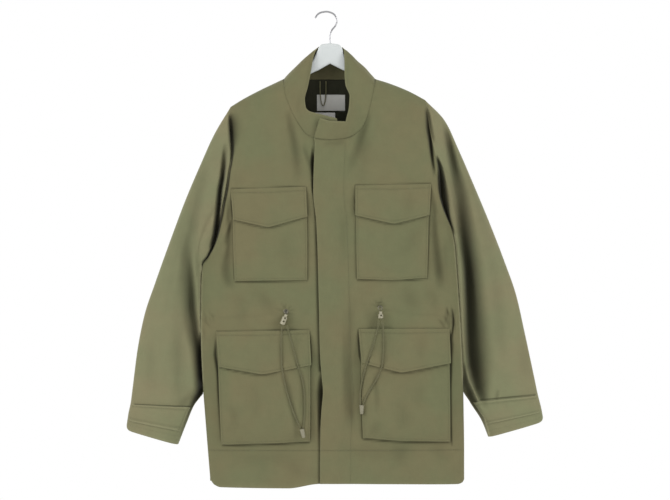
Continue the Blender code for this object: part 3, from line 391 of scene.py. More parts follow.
# armholes: the body's side of the folds, with deep painted shade in the gaps
crease("front_left", 0, 1.5, *along("left", [(198, 6, 7, 0, 0), (210, 6, 9, -5, 0.5), (226, 7, 11, -9, 0.75), (244, 7, 10, -10, 0.78),
                                             (262, 6, 6, -8, 0.8), (276, 5, 3, -6, 0.6), (292, 4, 3, -4, 0), (300, 4, 3, 0, 0)], 1.6))
crease("front_left", 0, 3.5, *along("left", [(206, 4, 2.0, 0, 0.2), (226, 5, 3.0, -1, 0.8), (250, 5, 3.4, -1, 0.95), (276, 5, 3.2, -1, 0.98),
                                             (300, 5, 2.8, -1, 0.97), (318, 5, 2.2, -1, 0.93), (334, 5, 2.4, -1, 0.95), (356, 5, 2.8, -1, 0.98),
                                             (384, 5, 2.8, -1, 0.97), (404, 4, 3.4, -1, 0.92), (424, 4, 2.4, -1, 0.92), (450, 4, 1.6, -1, 0.85), (480, 4, 1.0, 0, 0.5),
                                             (504, 3, 0.8, 0, 0)]))
crease("front_right", 0, 2.4, (199, 190, 3, 3, 0, 0), (202, 206, 4.4, 3.4, -7, 0.75), (204.5, 236, 5.0, 3.6, -12, 0.98),
       (207.5, 256, 4.6, 3.4, -13, 0.99), (210, 280, 3.8, 3.2, -10, 0.97), (212.5, 304, 3, 3, -6, 0.7), (217, 332, 3, 3, 0, 0))
crease("front_right", 0, 3.5, *along("right", [(286, 2, 3, 0, 0), (310, 2.4, 3, -5, 0.6), (330, 4.0, 3, -8, 0.95), (350, 4.2, 3, -9, 0.99),
                                               (368, 2.6, 3, -7, 0.99), (388, 1.6, 3, -5, 0.98), (406, 1.5, 3, -4, 0.97), (420, 1.5, 3, -3, 0.85), (436, 1.2, 2, 0, 0)]))
crease("front_right", 0.0, 2, *along("right", [(300, 9, 5, 0), (350, 8, 5, 2.5), (430, 8, 5, 3.0), (470, 9, 5, 0)], -12))
crease("front_left", 0.0, 2, *along("left", [(290, 5, 9, 0), (350, 5, 9, 3.0), (440, 5, 9, 3.0), (500, 5, 9, 0)], 9))
# waist gathers, with light painted shade
rng = np.random.RandomState(5)
for k in range(4):
    x = -249 + 7.2 * k + rng.uniform(-2, 2)
    top, low = 602 + rng.uniform(-10, 8), 624 + rng.uniform(-6, 12)
    deep = -(1.8 - 0.36 * k) * rng.uniform(0.7, 1.2)
    lean = rng.uniform(-7, 8)
    crease("front_left", 0.10, 2, (x, top, 2.2, 3.0, 0), (x + lean * 0.4, (top + low) / 2, 2.4, 3.4, deep),
           (x + lean, low, 2.2, 3.0, 0))
for k in range(4):
    x = 258 - 6.4 * k + rng.uniform(-2, 2)
    top, low = 592 + rng.uniform(-8, 12), 630 + rng.uniform(-8, 14)
    deep = -(2.6 - 0.46 * k) * rng.uniform(0.7, 1.2)
    lean = rng.uniform(-9, 9)
    crease("front_right", 0.15, 2, (x, top, 2.6, 2.2, 0), (x + lean * 0.4, (top + low) / 2, 3.2, 2.2, deep),
           (x + lean, low, 2.6, 2.2, 0))
crease("front_right", 0, 2, (250, 590, 1.5, 1.5, 0, 0), (253, 604, 2.2, 1.8, -4, 0.8), (254, 622, 2.6, 1.8, -6, 0.95),
       (252, 640, 2, 1.8, -4, 0.8), (249, 656, 2, 1.5, 0, 0))
for x0, d0, x1, d1, x2, d2, w, deep in [
        (240, 590, 243, 602, 249, 612, 2.0, -1.6), (232, 606, 240, 616, 246, 634, 2.2, -1.8), (246, 584, 249, 596, 248, 606, 1.8, 1.6),
        (226, 596, 236, 608, 243, 626, 2.2, 1.6), (256, 612, 258, 628, 257, 648, 1.6, -1.4), (221, 612, 231, 622, 238, 636, 2.4, -1.4)]:
    crease("front_right", 0.30 if deep < 0 else 0, 2, (x0, d0, w, w, 0), (x1, d1, w, w, deep), (x2, d2, w, w, 0))
for x0, d0, x1, d1, x2, d2, w, deep in [
        (-250, 592, -244, 606, -238, 618, 2.0, -1.6), (-246, 614, -239, 624, -230, 634, 2.0, -1.5), (-248, 600, -242, 610, -233, 624, 1.8, 1.6),
        (-238, 596, -231, 606, -222, 612, 1.9, -1.2), (-249, 626, -246, 640, -243, 660, 1.8, -1.4), (-232, 614, -226, 628, -218, 634, 2.2, 1.2)]:
    crease("front_left", 0.16 if deep < 0 else 0, 2, (x0, d0, w, w, 0), (x1, d1, w, w, 0.7 * deep), (x2, d2, w, w, 0))
# the drawcord's channel, and puckers round its eyelets, with painted shade
crease("front_left", 0.04, 2, (-238, 612, 4, 4, 0), (-180, 611, 4, 4, -0.8), (-120, 606, 4, 4, -0.7), (-84, 602, 4, 4, 0))
crease("front_right", 0.04, 2, (112, 596, 4, 4, 0), (150, 602, 4, 4, -0.8), (200, 606, 4, 4, -0.8), (250, 610, 4, 4, 0))
for name, ex, ed in (("front_left", -81, 599), ("front_right", 107, 592)):
    for k in range(9):
        a = math.radians(200 + 35 * k + rng.uniform(-9, 9))
        far = rng.uniform(14, 26)
        ca, sa = math.cos(a), math.sin(a)
        crease(name, 0.22, 2, (ex + 5 * ca, ed + 5 * sa, 1.8, 1.8, 0), (ex + 9 * ca, ed + 9 * sa, 1.8, 1.8, -1.0),
               (ex + far * ca, ed + far * sa, 2.6, 2.6, 0))
for k in range(4):
    crease("front_right", 0.6, 2, (97 + k, 582 + 3.4 * k, 1.1, 1.1, 0), (106, 581.5 + 3.6 * k, 1.2, 1.2, -1.6),
           (115 - k, 582 + 3.4 * k, 1.1, 1.1, 0))
# narrow troughs in the fronts beside the pockets and the flaps, with painted shadow along their edges
for name, rows in (
        ("front_left", [(-222, 650, 1.6, 2, 0, 0), (-221.5, 664, 2.0, 2, -1.5, 0.6), (-222, 684, 3.4, 3, -2.5, 0.9), (-220, 700, 3.2, 3, -2.5, 0.97),
                        (-217.5, 724, 2.2, 3, -2, 0.95), (-216.5, 756, 2.0, 3, -2, 0.85), (-214.5, 790, 2.0, 3, -1.5, 0.8), (-212.5, 830, 1.6, 3, -1, 0.5),
                        (-211, 858, 1.6, 2, 0, 0.2)]),
        ("front_left", [(-33.6, 640, 2, 1.2, 0, 0.3), (-32.4, 660, 2, 1.7, -1, 0.8), (-30.9, 690, 2, 1.9, -1, 0.8), (-30.2, 704, 2, 1.5, -1, 0.6),
                        (-31.8, 712, 2, 1.1, 0, 0.35), (-32.2, 780, 2, 1.1, -0.4, 0.4), (-32.0, 850, 2, 1.1, 0, 0.4)]),
        ("front_right", [(62.8, 636, 1.2, 2, 0, 0.4), (64.2, 656, 2.0, 2, -1, 0.85), (67.0, 690, 2.2, 2, -1, 0.85), (69.4, 703, 1.3, 2, 0, 0.5),
                         (68.6, 760, 1.1, 2, -0.4, 0.45), (71.2, 852, 1.1, 2, 0, 0.45)]),
        ("front_right", [(246.4, 637, 2, 2.0, 0, 0.4), (247.2, 648, 3, 4.2, -2, 0.97), (248.4, 664, 3, 4.6, -2.5, 0.98), (248.6, 690, 3, 3.2, -2.5, 0.97),
                         (248.6, 712, 3, 2.6, -2, 0.95), (248.2, 760, 3, 2.0, -1.5, 0.85), (248.8, 820, 3, 2.0, -1.5, 0.85), (249.6, 852, 3, 2.0, -1, 0.8),
                         (251, 866, 2, 2, 0, 0.3)]),
        ("front_left", [(-191.2, 357, 1.3, 2, 0, 0.25), (-190.2, 368, 1.6, 2, -0.5, 0.5), (-189.0, 384, 2.6, 2, -1.2, 0.92), (-187.2, 404, 2.4, 2, -1.2, 0.92),
                        (-187.0, 418, 1.5, 2, -0.5, 0.5), (-186.8, 480, 1.2, 2, -0.4, 0.3), (-184.6, 535, 1.2, 2, 0, 0.4)]),
        ("front_left", [(-188.6, 412, 2, 2, 0, 0), (-192, 428, 3.4, 3, -1.6, 0.55), (-198, 452, 5, 4, -1.6, 0.35), (-201, 470, 5, 5, 0, 0)]),
        ("front_left", [(-39.6, 352, 2, 1.1, 0, 0.25), (-37.6, 400, 2, 1.3, -0.4, 0.45), (-38, 412, 2, 1, 0, 0.35), (-37.6, 536, 2, 1.0, 0, 0.3)]),
        ("front_right", [(56.8, 349, 1.3, 2, 0, 0.35), (56.8, 380, 1.7, 2, -0.5, 0.7), (56.8, 404, 1.3, 2, -0.4, 0.5), (58.8, 414, 1, 2, 0, 0.3),
                         (59.8, 532, 1.0, 2, 0, 0.3)]),
        ("front_right", [(209.6, 346, 2, 1.3, 0, 0.3), (208.0, 380, 2, 1.7, -0.6, 0.6), (206, 408, 2, 1.6, -0.6, 0.6), (204.6, 430, 2, 1.8, -0.8, 0.7),
                         (203, 500, 2, 1.4, -0.4, 0.5), (202, 534, 2, 1.0, 0, 0.3)])):
    crease(name, 0, 2.4, *rows)
# painted shadow: thin dark lines under the flaps' lower edges, along the pockets' bottoms and above the cuff tabs
for name, rows in (
        ("front_left", [(-220, 637.4, 1, 1, 0, 0.5), (-120, 636.2, 1, 1, -0.2, 0.55), (-34.6, 634.2, 1, 1, 0, 0.5)]),
        ("front_right", [(64.4, 631.8, 1, 1, 0, 0.55), (150, 631.6, 1, 1, -0.2, 0.55), (245, 631.8, 1, 1, 0, 0.5)]),
        ("front_left", [(-190.6, 353.2, 1, 1, 0, 0.4), (-120, 351, 1, 1, -0.2, 0.45), (-41.6, 348.6, 1, 1, 0, 0.4)]),
        ("front_right", [(58, 345.8, 1, 1, 0, 0.45), (134, 344.2, 1, 1, -0.2, 0.45), (208, 343, 1, 1, 0, 0.4)]),
        ("front_left", [(-208, 867.5, 1.4, 1.4, 0, 0.5), (-120, 864.5, 1.4, 1.4, -0.3, 0.6), (-34, 860.5, 1.4, 1.4, 0, 0.5)]),
        ("front_right", [(74, 853.5, 1.4, 1.4, 0, 0.5), (150, 859.5, 1.4, 1.4, -0.3, 0.6), (247, 861.5, 1.4, 1.4, 0, 0.5)]),
        ("front_left", [(-182, 540.4, 1.2, 1.2, 0, 0.5), (-110, 539.4, 1.2, 1.2, -0.2, 0.6), (-39.4, 538.4, 1.2, 1.2, 0, 0.4)]),
        ("front_right", [(61.6, 536.4, 1.2, 1.2, 0, 0.4), (130, 538.4, 1.2, 1.2, -0.2, 0.6), (200, 534.6, 1.2, 1.2, 0, 0.4)]),
        ("lower_pocket_left", [(-212.6, 711.0, 1.9, 1.7, 0, 0.55), (-128, 725.0, 1.9, 1.7, -0.2, 0.3), (-80, 716.0, 1.8, 1.8, -0.1, 0.1), (-33, 707.4, 1, 1, 0, 0.0)]),
        ("lower_pocket_right", [(72, 703, 1.8, 1.8, 0, 0.1), (150, 721.6, 1.8, 1.8, -0.2, 0.35), (246, 704, 1.8, 1.8, 0, 0.35)]),
        ("chest_pocket_left", [(-184, 417.0, 1.8, 1.8, 0, 0.3), (-117, 431.8, 1.8, 1.8, -0.2, 0.35), (-40, 411.0, 1.8, 1.8, 0, 0.3)]),
        ("chest_pocket_right", [(60, 408.8, 1.8, 1.8, 0, 0.3), (134.6, 425.0, 1.8, 1.8, -0.2, 0.35), (203, 407.8, 1.8, 1.8, 0, 0.3)]),
        ("sleeve_left_front", [(-383, 785, 1.4, 1.4, 0, 0.5), (-330, 788, 1.4, 1.4, -0.5, 0.75), (-272, 789.4, 1.4, 1.4, 0, 0.6)]),
        ("sleeve_right_front", [(309, 776, 1.4, 1.4, 0, 0.6), (360, 771, 1.4, 1.4, -0.5, 0.75), (418, 765.6, 1.4, 1.4, 0, 0.5)])):
    crease(name, 0, 2, *rows)
# deep hem, and the seam line above it, with light painted shade
crease("front_left front_right back", 0.16, 2, (-240, 877, 1.6, 1.6, -0.35), (0, 876, 1.6, 1.6, -0.35),
       (278, 876, 1.6, 1.6, -0.35))
# back, with painted shade in its folds
for row in [(-95, 205, -84, 330, -72, 470, 12, -3.0), (112, 210, 104, 340, 92, 500, 13, -3.2),
            (-20, 170, -26, 260, -16, 380, 11, 2.0), (38, 172, 46, 280, 38, 400, 11, 2.0),
            (-165, 330, -150, 430, -120, 560, 12, -3.0), (176, 330, 160, 440, 132, 560, 12, -3.0),
            (-60, 640, -54, 780, -66, 930, 14, -3.6), (60, 640, 70, 800, 62, 920, 13, -2.6),
            (180, 610, 190, 760, 204, 925, 13, -3.2), (-176, 615, -180, 760, -170, 925, 13, 3.2),
            (8, 610, 2, 760, 12, 930, 15, 2.8)]:
    x0, d0, x1, d1, x2, d2, w, deep = row
    crease("back", 0.22 if deep < 0 else 0.0, 2, (x0, d0, w, w, 0), (x1, d1, w, w, deep), (x2, d2, w, w, 0))
for k in range(26):
    x = -244 + 20.2 * k + rng.uniform(-5, 5)
    half = rng.uniform(14, 30)
    mid = 606 + rng.uniform(-5, 5)
    deep = -(1.0 + 2.4 * abs(x - 10) / 250) * rng.uniform(0.6, 1.3)
    lean = rng.uniform(-8, 8)
    crease("back", 0.35, 2, (x - lean, mid - half, 3.0, 3.4, 0), (x, mid, 3.0, 3.6, deep), (x + lean, mid + half, 3.0, 3.4, 0))
crease("back", 0.25, 2, (-246, 600, 3, 3, -0.6), (10, 604, 3, 3, -0.7), (262, 600, 3, 3, -0.6))
crease("back", 0.14, 1.6, (-60, 146, 2, 2, 0), (8, 152, 2, 2, -0.6), (72, 146, 2, 2, 0))
for side, s in (("left", -1), ("right", 1)):
    crease("back", 0.55, 2, *along(side, [(210, 5, 5, 0), (250, 7, 7, -5), (310, 7, 7, -7), (380, 7, 7, -4), (430, 6, 6, 0)], -5 * s))

# sleeves, front side: painted shade in the gaps at the body's edge and in the folds
crease("sleeve_left_front", 0, 3, *along("left", [(204, 4, 3, 0, 0), (214, 4.6, 3, -8, 0.7), (232, 4.6, 3, -11, 0.92), (252, 3.6, 3, -11, 0.9),
                                                  (276, 2.6, 3, -10, 0.97), (296, 2.4, 3, -7, 0.8), (318, 2.4, 3, -5, 0.6), (350, 2.6, 3, -7, 0.85),
                                                  (400, 3.4, 3, -8, 0.86), (426, 5.2, 3, -14, 0.96), (446, 6.0, 3, -16, 0.98), (470, 4.8, 3, -15, 0.97),
                                                  (490, 3.2, 3, -9, 0.93), (504, 2.2, 2, -4, 0.6), (512, 2, 2, 0, 0)]))
crease("sleeve_left_front", 0, 2.4, (-201, 262, 4, 4, 0, 0), (-204, 290, 4.4, 4, -8, 0.45), (-206, 316, 4.6, 4.2, -13, 0.8),
       (-209, 336, 4.4, 4.4, -17, 0.94), (-212.5, 356, 4.4, 4.4, -19, 0.97), (-216, 396, 4.6, 4.2, -19, 0.97), (-219, 422, 4.6, 4, -18, 0.97),
       (-222, 444, 4.6, 4, -14, 0.95), (-228, 462, 4, 4, -6, 0.6), (-234, 474, 3, 3, 0, 0))
crease("sleeve_left_front", 0.22, 2, (-236, 286, 12, 12, 0), (-252, 350, 13, 12, -4), (-268, 430, 13, 12, -4.5),
       (-277, 500, 13, 12, 0))
crease("sleeve_left_front", 0.10, 2, (-262, 330, 14, 14, 0), (-290, 440, 16, 16, 3.0), (-312, 560, 16, 16, 2.0), (-326, 640, 16, 16, 0))
crease("sleeve_left_front", 0, 2.2, (-282, 440, 10, 9, 0, 0), (-279, 470, 12, 9, -5, 0.22), (-277, 500, 12, 9, -10, 0.40),
       (-275, 530, 12, 9, -15, 0.52), (-273, 560, 12, 9, -18, 0.62), (-271, 590, 12, 9, -19, 0.64), (-267, 620, 12, 9, -19, 0.62),
       (-263, 644, 12, 8, -18, 0.70), (-258, 668, 11, 8, -16, 0.80), (-254, 700, 10, 8, -14, 0.95), (-251, 740, 9, 8, -12, 1.0),
       (-253, 768, 8, 8, -6, 0.98), (-262, 790, 7, 7, 0, 0.6))
crease("sleeve_left_front", 0, 2.4, (-253, 640, 5, 6, 0, 0), (-252, 664, 6, 6, -3, 0.85), (-250, 700, 8, 6, -6, 0.97), (-247, 730, 10, 6, -7, 1.0),
       (-247, 752, 10, 6, -7, 1.0), (-262, 776, 7, 6, -4, 0.9), (-276, 806, 4, 5, -2, 0.6), (-290, 846, 3, 4, 0, 0.4))
crease("sleeve_left_front", 0.12, 2, (-300, 620, 14, 12, 0), (-292, 690, 14, 12, -4), (-290, 750, 13, 12, -3), (-298, 800, 12, 12, 0))
crease("sleeve_left_front", 0.10, 2, (-350, 640, 12, 12, 0), (-352, 700, 12, 12, -2.5), (-346, 770, 12, 12, 0))
crease("sleeve_left_front", 0.14, 2, (-262, 760, 8, 8, 0), (-284, 782, 8, 8, -2.5), (-300, 790, 8, 8, 0))
crease("sleeve_left_front", 0.10, 2, (-240, 236, 8, 8, 0), (-262, 300, 9, 9, 2.0), (-276, 360, 10, 10, 0))
# sleeves, right front side: painted shade in the gaps at the body's edge and in the folds
crease("sleeve_right_front", 0, 4, *along("right", [(286, 3, 3, 0, 0), (302, 3, 5.4, -9, 0.85), (326, 4, 8.2, -15, 0.98), (346, 5, 10.2, -19, 1.0),
                                                    (366, 5, 11.4, -19, 1.0), (386, 5, 9.8, -18, 1.0), (406, 4, 5.8, -14, 0.99), (420, 3, 3.6, -8, 0.85),
                                                    (434, 3, 2.6, -4, 0.4), (446, 3, 2.4, 0, 0)]))
crease("sleeve_right_front", 0, 2.4, (235, 222, 5, 5, 0, 0), (240, 240, 6, 6, -6, 0.4), (244, 256, 7, 7, -10, 0.66), (255, 306, 9, 8.5, -14, 0.68),
       (265, 356, 12, 14, -15, 0.62), (273, 406, 12, 14, -18, 0.72), (279, 456, 11, 14.5, -23, 0.88), (285, 516, 10, 17.5, -27, 0.95),
       (287.5, 576, 10, 20.5, -30, 0.96), (289.5, 636, 11, 24, -30, 0.96), (292, 696, 11, 25, -28, 0.96), (300, 738, 10, 20, -22, 0.90),
       (306, 758, 8, 15, -14, 0.82), (311, 772, 6, 11, -8, 0.68), (314, 786, 4, 6, -3, 0.4), (318, 796, 3, 4, 0, 0))
crease("sleeve_right_front", 0.10, 2, (262, 250, 10, 10, 0), (292, 340, 12, 12, 3.0), (318, 450, 14, 14, 3.0), (336, 540, 14, 14, 0))
crease("sleeve_right_front", 0.12, 2, (330, 480, 12, 12, 0), (340, 560, 14, 14, -2.8), (346, 640, 14, 14, -2.8), (352, 700, 12, 12, 0))
crease("sleeve_right_front", 0, 2.6, (275.5, 698, 3, 3, 0, 0), (276.5, 714, 3.4, 3.6, -2, 0.6), (278.5, 736, 6, 6, -4, 0.78), (286, 760, 10, 8, -6, 0.84),
       (291, 772, 11, 8.5, -6, 0.84), (300, 788, 10, 6.5, -5, 0.8), (308.5, 804, 7, 4.6, -3, 0.62), (317, 828, 5, 3.4, -1, 0.35), (322, 850, 4, 3, 0, 0))
crease("sleeve_right_front", 0.0, 2, (279, 716, 2, 2, 0.4), (288, 742, 2, 2, 1.3), (302.5, 776, 2, 2, 1.4), (317, 816, 2, 2, 1.2),
       (326, 850, 2, 2, 0.6))
crease("sleeve_right_front", 0.22, 2, (344, 752, 3, 3, 0), (341, 766, 3, 3, -2.2), (339, 778, 3, 3, -1.0), (338, 788, 3, 3, 0))
crease("sleeve_right_front", 0.10, 2, (392, 640, 10, 10, 0), (398, 700, 11, 11, -2.4), (402, 752, 10, 10, 0))
# sleeves, back side, with painted shade
for which, s in (("left", -1), ("right", 1)):
    o = 0 if which == "left" else 8
    crease(f"sleeve_{which}_back", 0.6, 2, *along(which, [(262, 5, 5, 0), (310, 6, 6, -8), (370, 7, 7, -12), (430, 6, 6, -7),
                                                          (470, 5, 5, 0)], 7 * s))
    crease(f"sleeve_{which}_back", 0.4, 2, (s * (262 + o), 380, 9, 9, 0), (s * (272 + o), 470, 10, 10, -8),
           (s * (282 + o), 580, 11, 11, -11), (s * (288 + o), 690, 11, 11, -7), (s * (300 + o), 770, 10, 10, 0))
    crease(f"sleeve_{which}_back", 0.15, 2, (s * (300 + o), 420, 12, 12, 0), (s * (318 + o), 520, 13, 13, -4),
           (s * (326 + o), 610, 12, 12, 0))
    crease(f"sleeve_{which}_back", 0.12, 2, (s * (352 + o), 600, 12, 12, 0), (s * (356 + o), 680, 12, 12, 3),
           (s * (362 + o), 760, 12, 12, 0))
    crease(f"sleeve_{which}_back", 0.2, 2, (s * (262 + o), 610, 7, 7, 0), (s * (296 + o), 632, 8, 8, -4.5),
           (s * (330 + o), 640, 8, 8, 0))
    crease(f"sleeve_{which}_back", 0.2, 2, (s * (270 + o), 560, 6, 6, 0), (s * (300 + o), 572, 7, 7, -3.2),
           (s * (322 + o), 574, 7, 7, 0))
# pockets and flaps, with light painted shade
crease("lower_pocket_left", 0.30, 2, (-86, 712, 4, 4, 0), (-76, 746, 5, 4, -2.2), (-66, 792, 5, 4, -2.6), (-60, 836, 5, 4, -2.0),
       (-59, 856, 4, 4, 0))
crease("lower_pocket_left", 0.18, 2, (-50, 716, 4, 4, 0), (-48, 760, 4, 4, -1.4), (-52, 806, 4, 4, 0))
crease("lower_pocket_left", 0.14, 2, (-196, 780, 9, 9, 0), (-184, 812, 10, 10, -2.4), (-184, 846, 10, 10, 0))
crease("lower_pocket_left", 0.08, 2, (-150, 736, 12, 12, 0), (-140, 780, 13, 13, -1.8), (-150, 830, 12, 12, 0))
crease("lower_pocket_right", 0.24, 2, (95, 716, 4, 4, 0), (98, 742, 5, 4, -1.8), (101, 780, 5, 4, -1.2), (99, 806, 4, 4, 0))
crease("lower_pocket_right", 0.12, 2, (104, 812, 8, 8, 0), (98, 834, 9, 9, -2.0), (86, 852, 8, 8, 0))
crease("lower_pocket_right", 0.10, 2, (150, 770, 12, 12, 0), (154, 806, 13, 13, -2.2), (150, 846, 12, 12, 0))
crease("lower_pocket_right", 0.08, 2, (196, 730, 12, 12, 0), (184, 768, 13, 13, -1.6), (196, 806, 12, 12, 0))
crease("chest_pocket_left", 0.08, 2, (-90, 436, 14, 14, 0), (-80, 480, 16, 16, -1.6), (-62, 530, 14, 14, 0))
crease("chest_pocket_right", 0.10, 2, (188, 424, 14, 14, 0), (172, 458, 16, 16, -1.8), (140, 500, 16, 16, 0))
crease("lower_flap_left", 0.16, 2, (-92, 642, 5, 5, 0), (-92, 664, 5, 5, -1.6), (-88, 706, 5, 5, 0))
crease("lower_flap_left", 0.10, 2, (-62, 642, 4, 4, 0), (-60, 664, 4, 4, -1.2), (-58, 704, 4, 4, 0))
crease("lower_flap_right", 0.18, 2, (114, 636, 5, 6, 0), (115, 660, 6, 7, -1.8), (114, 704, 6, 6, -1.0), (114, 712, 5, 5, 0))
crease("lower_flap_right", 0.08, 2, (184, 640, 12, 12, 0), (190, 668, 12, 12, -1.6), (186, 702, 12, 12, 0))
crease("chest_flap_right", 0.08, 2, (160, 352, 12, 12, 0), (166, 384, 12, 12, -1.4), (158, 414, 12, 12, 0))
crease("collar_left collar", 0.10, 2, (-44, 150, 6, 6, 0), (-56, 190, 7, 7, -1.2), (-48, 226, 6, 6, 0))


# ------------------------------------------------------------------ surfaces of the body
def smoothstep(t):
    t = np.clip(t, 0, 1)
    return t * t * (3 - 2 * t)


def body_base(side, x, d):
    """How far the body stands out, and how freely creases may shape it, at x and drop."""
    left, right = BODY.at("left", d), BODY.at("right", d)
    mid, half = (left + right) / 2, (right - left) / 2
    u = np.clip((x - mid) / half, -1, 1)
    bulge = BODY.at(side, d)
    e_max = ARMHOLE_FRONT if side == "front" else ARMHOLE_BACK
    under = np.where(u < 0, ARMHOLE["left"][1], ARMHOLE["right"][1])
    top = np.where(u < 0, ARMHOLE["left"][0], ARMHOLE["right"][0])
    q = np.clip((d - top) / (under - top), 0, 1)
    edge = e_max * np.sin(np.pi * q) ** 0.62 * (1 - np.exp(-((1 - q) / 0.06)**2))
    t = np.clip((d - RIDGE.at("drop", x)) / SHOULDER_ROUND, 0, 1)
    over = np.sqrt(np.clip(1 - (1 - t)**2, 0, 1))
    across = np.sqrt(np.clip(1 - u * u, 0, 1))
    calm = np.minimum(1, across / 0.35) * over
    deep = (edge + (bulge - edge) * across) * over
    deep = deep + calm * sag(x, d, [f for f in FOLDS if f["side"] == side])
    # creases die out at the side seams and the shoulders, and run on over the armholes
    inside = smoothstep(np.minimum(x - left, right - x) / 7.0)
    free = np.where(d < under, np.maximum(inside, smoothstep((under - d) / 20)), inside)
    free = free * smoothstep(t * 1.6)
    rough = uneven(x, d, 11 if side == "front" else 12, 0.55, 110) + uneven(x, d, 13, 0.16, 34)
    deep = deep + rough * np.minimum(1, across / 0.3) * smoothstep(t)
    return deep, free


def lap(x, d):
    """How far the upper front lies over the under one."""
    start = PLACKET_EDGE.at("x", d) + PLACKET_WIDTH
    return 2.7 * smoothstep((start - 6 - x) / 26.0) + 0.55 * smoothstep((start - x) / 2.2)


def front(which, x, d, fine=True):
    """Outer y and painted shade of a front, creases included."""
    x, d = np.broadcast_arrays(np.asarray(x, float), np.asarray(d, float))
    deep, free = body_base("front", x, d)
    push, dark = creased("front_" + which, x, d, not fine)
    y = -deep - free * push
    if which == "right":
        y = y - lap(x, d)
    return np.minimum(y, -0.25), free * dark


def back(x, d):
    x, d = np.broadcast_arrays(np.asarray(x, float), np.asarray(d, float))
    deep, free = body_base("back", x, d)
    push, dark = creased("back", x, d)
    return np.maximum(deep + free * push, 0.25), free * dark


def xyz(x, y, d):
    x, y, d = np.broadcast_arrays(x, y, np.asarray(d, float))
    return np.stack([x, y, -d], axis=-1)


def grid_normals(p, closed, toward):
    du = np.gradient(p, axis=0)
    if closed:
        dv = (np.roll(p, -1, axis=1) - np.roll(p, 1, axis=1)) / 2
    else:
        dv = np.gradient(p, axis=1)
    n = np.cross(du, dv)
    n /= np.maximum(np.linalg.norm(n, axis=2, keepdims=True), 1e-9)
    return -n if np.einsum("ijk,ijk->ij", n, toward).sum() < 0 else n


def mesh_object(name, verts, faces, mats, face_mats=None, uv=None, attrs=(), smooth=True):
    """A mesh from points in mm; uv holds one pair for each face corner, in metres."""
    mesh = bpy.data.meshes.new(name)
    mesh.from_pydata((np.asarray(verts, float) * M).tolist(), [], [list(map(int, f)) for f in faces])
    for m in mats:
        mesh.materials.append(m)
    if face_mats is not None:
        mesh.polygons.foreach_set("material_index", np.asarray(face_mats, np.int32))
    if uv is not None:
        layer = mesh.uv_layers.new(name="metres")
        layer.data.foreach_set("uv", np.asarray(uv, np.float32).ravel())
    for key, values in attrs:
        a = mesh.attributes.new(key, "FLOAT", "POINT")
        a.data.foreach_set("value", np.asarray(values, np.float32).ravel())
    mesh.update()
    if smooth:
        mesh.shade_smooth()
    obj = bpy.data.objects.new(name, mesh)
    bpy.context.collection.objects.link(obj)
    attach(obj, "root")
    return obj


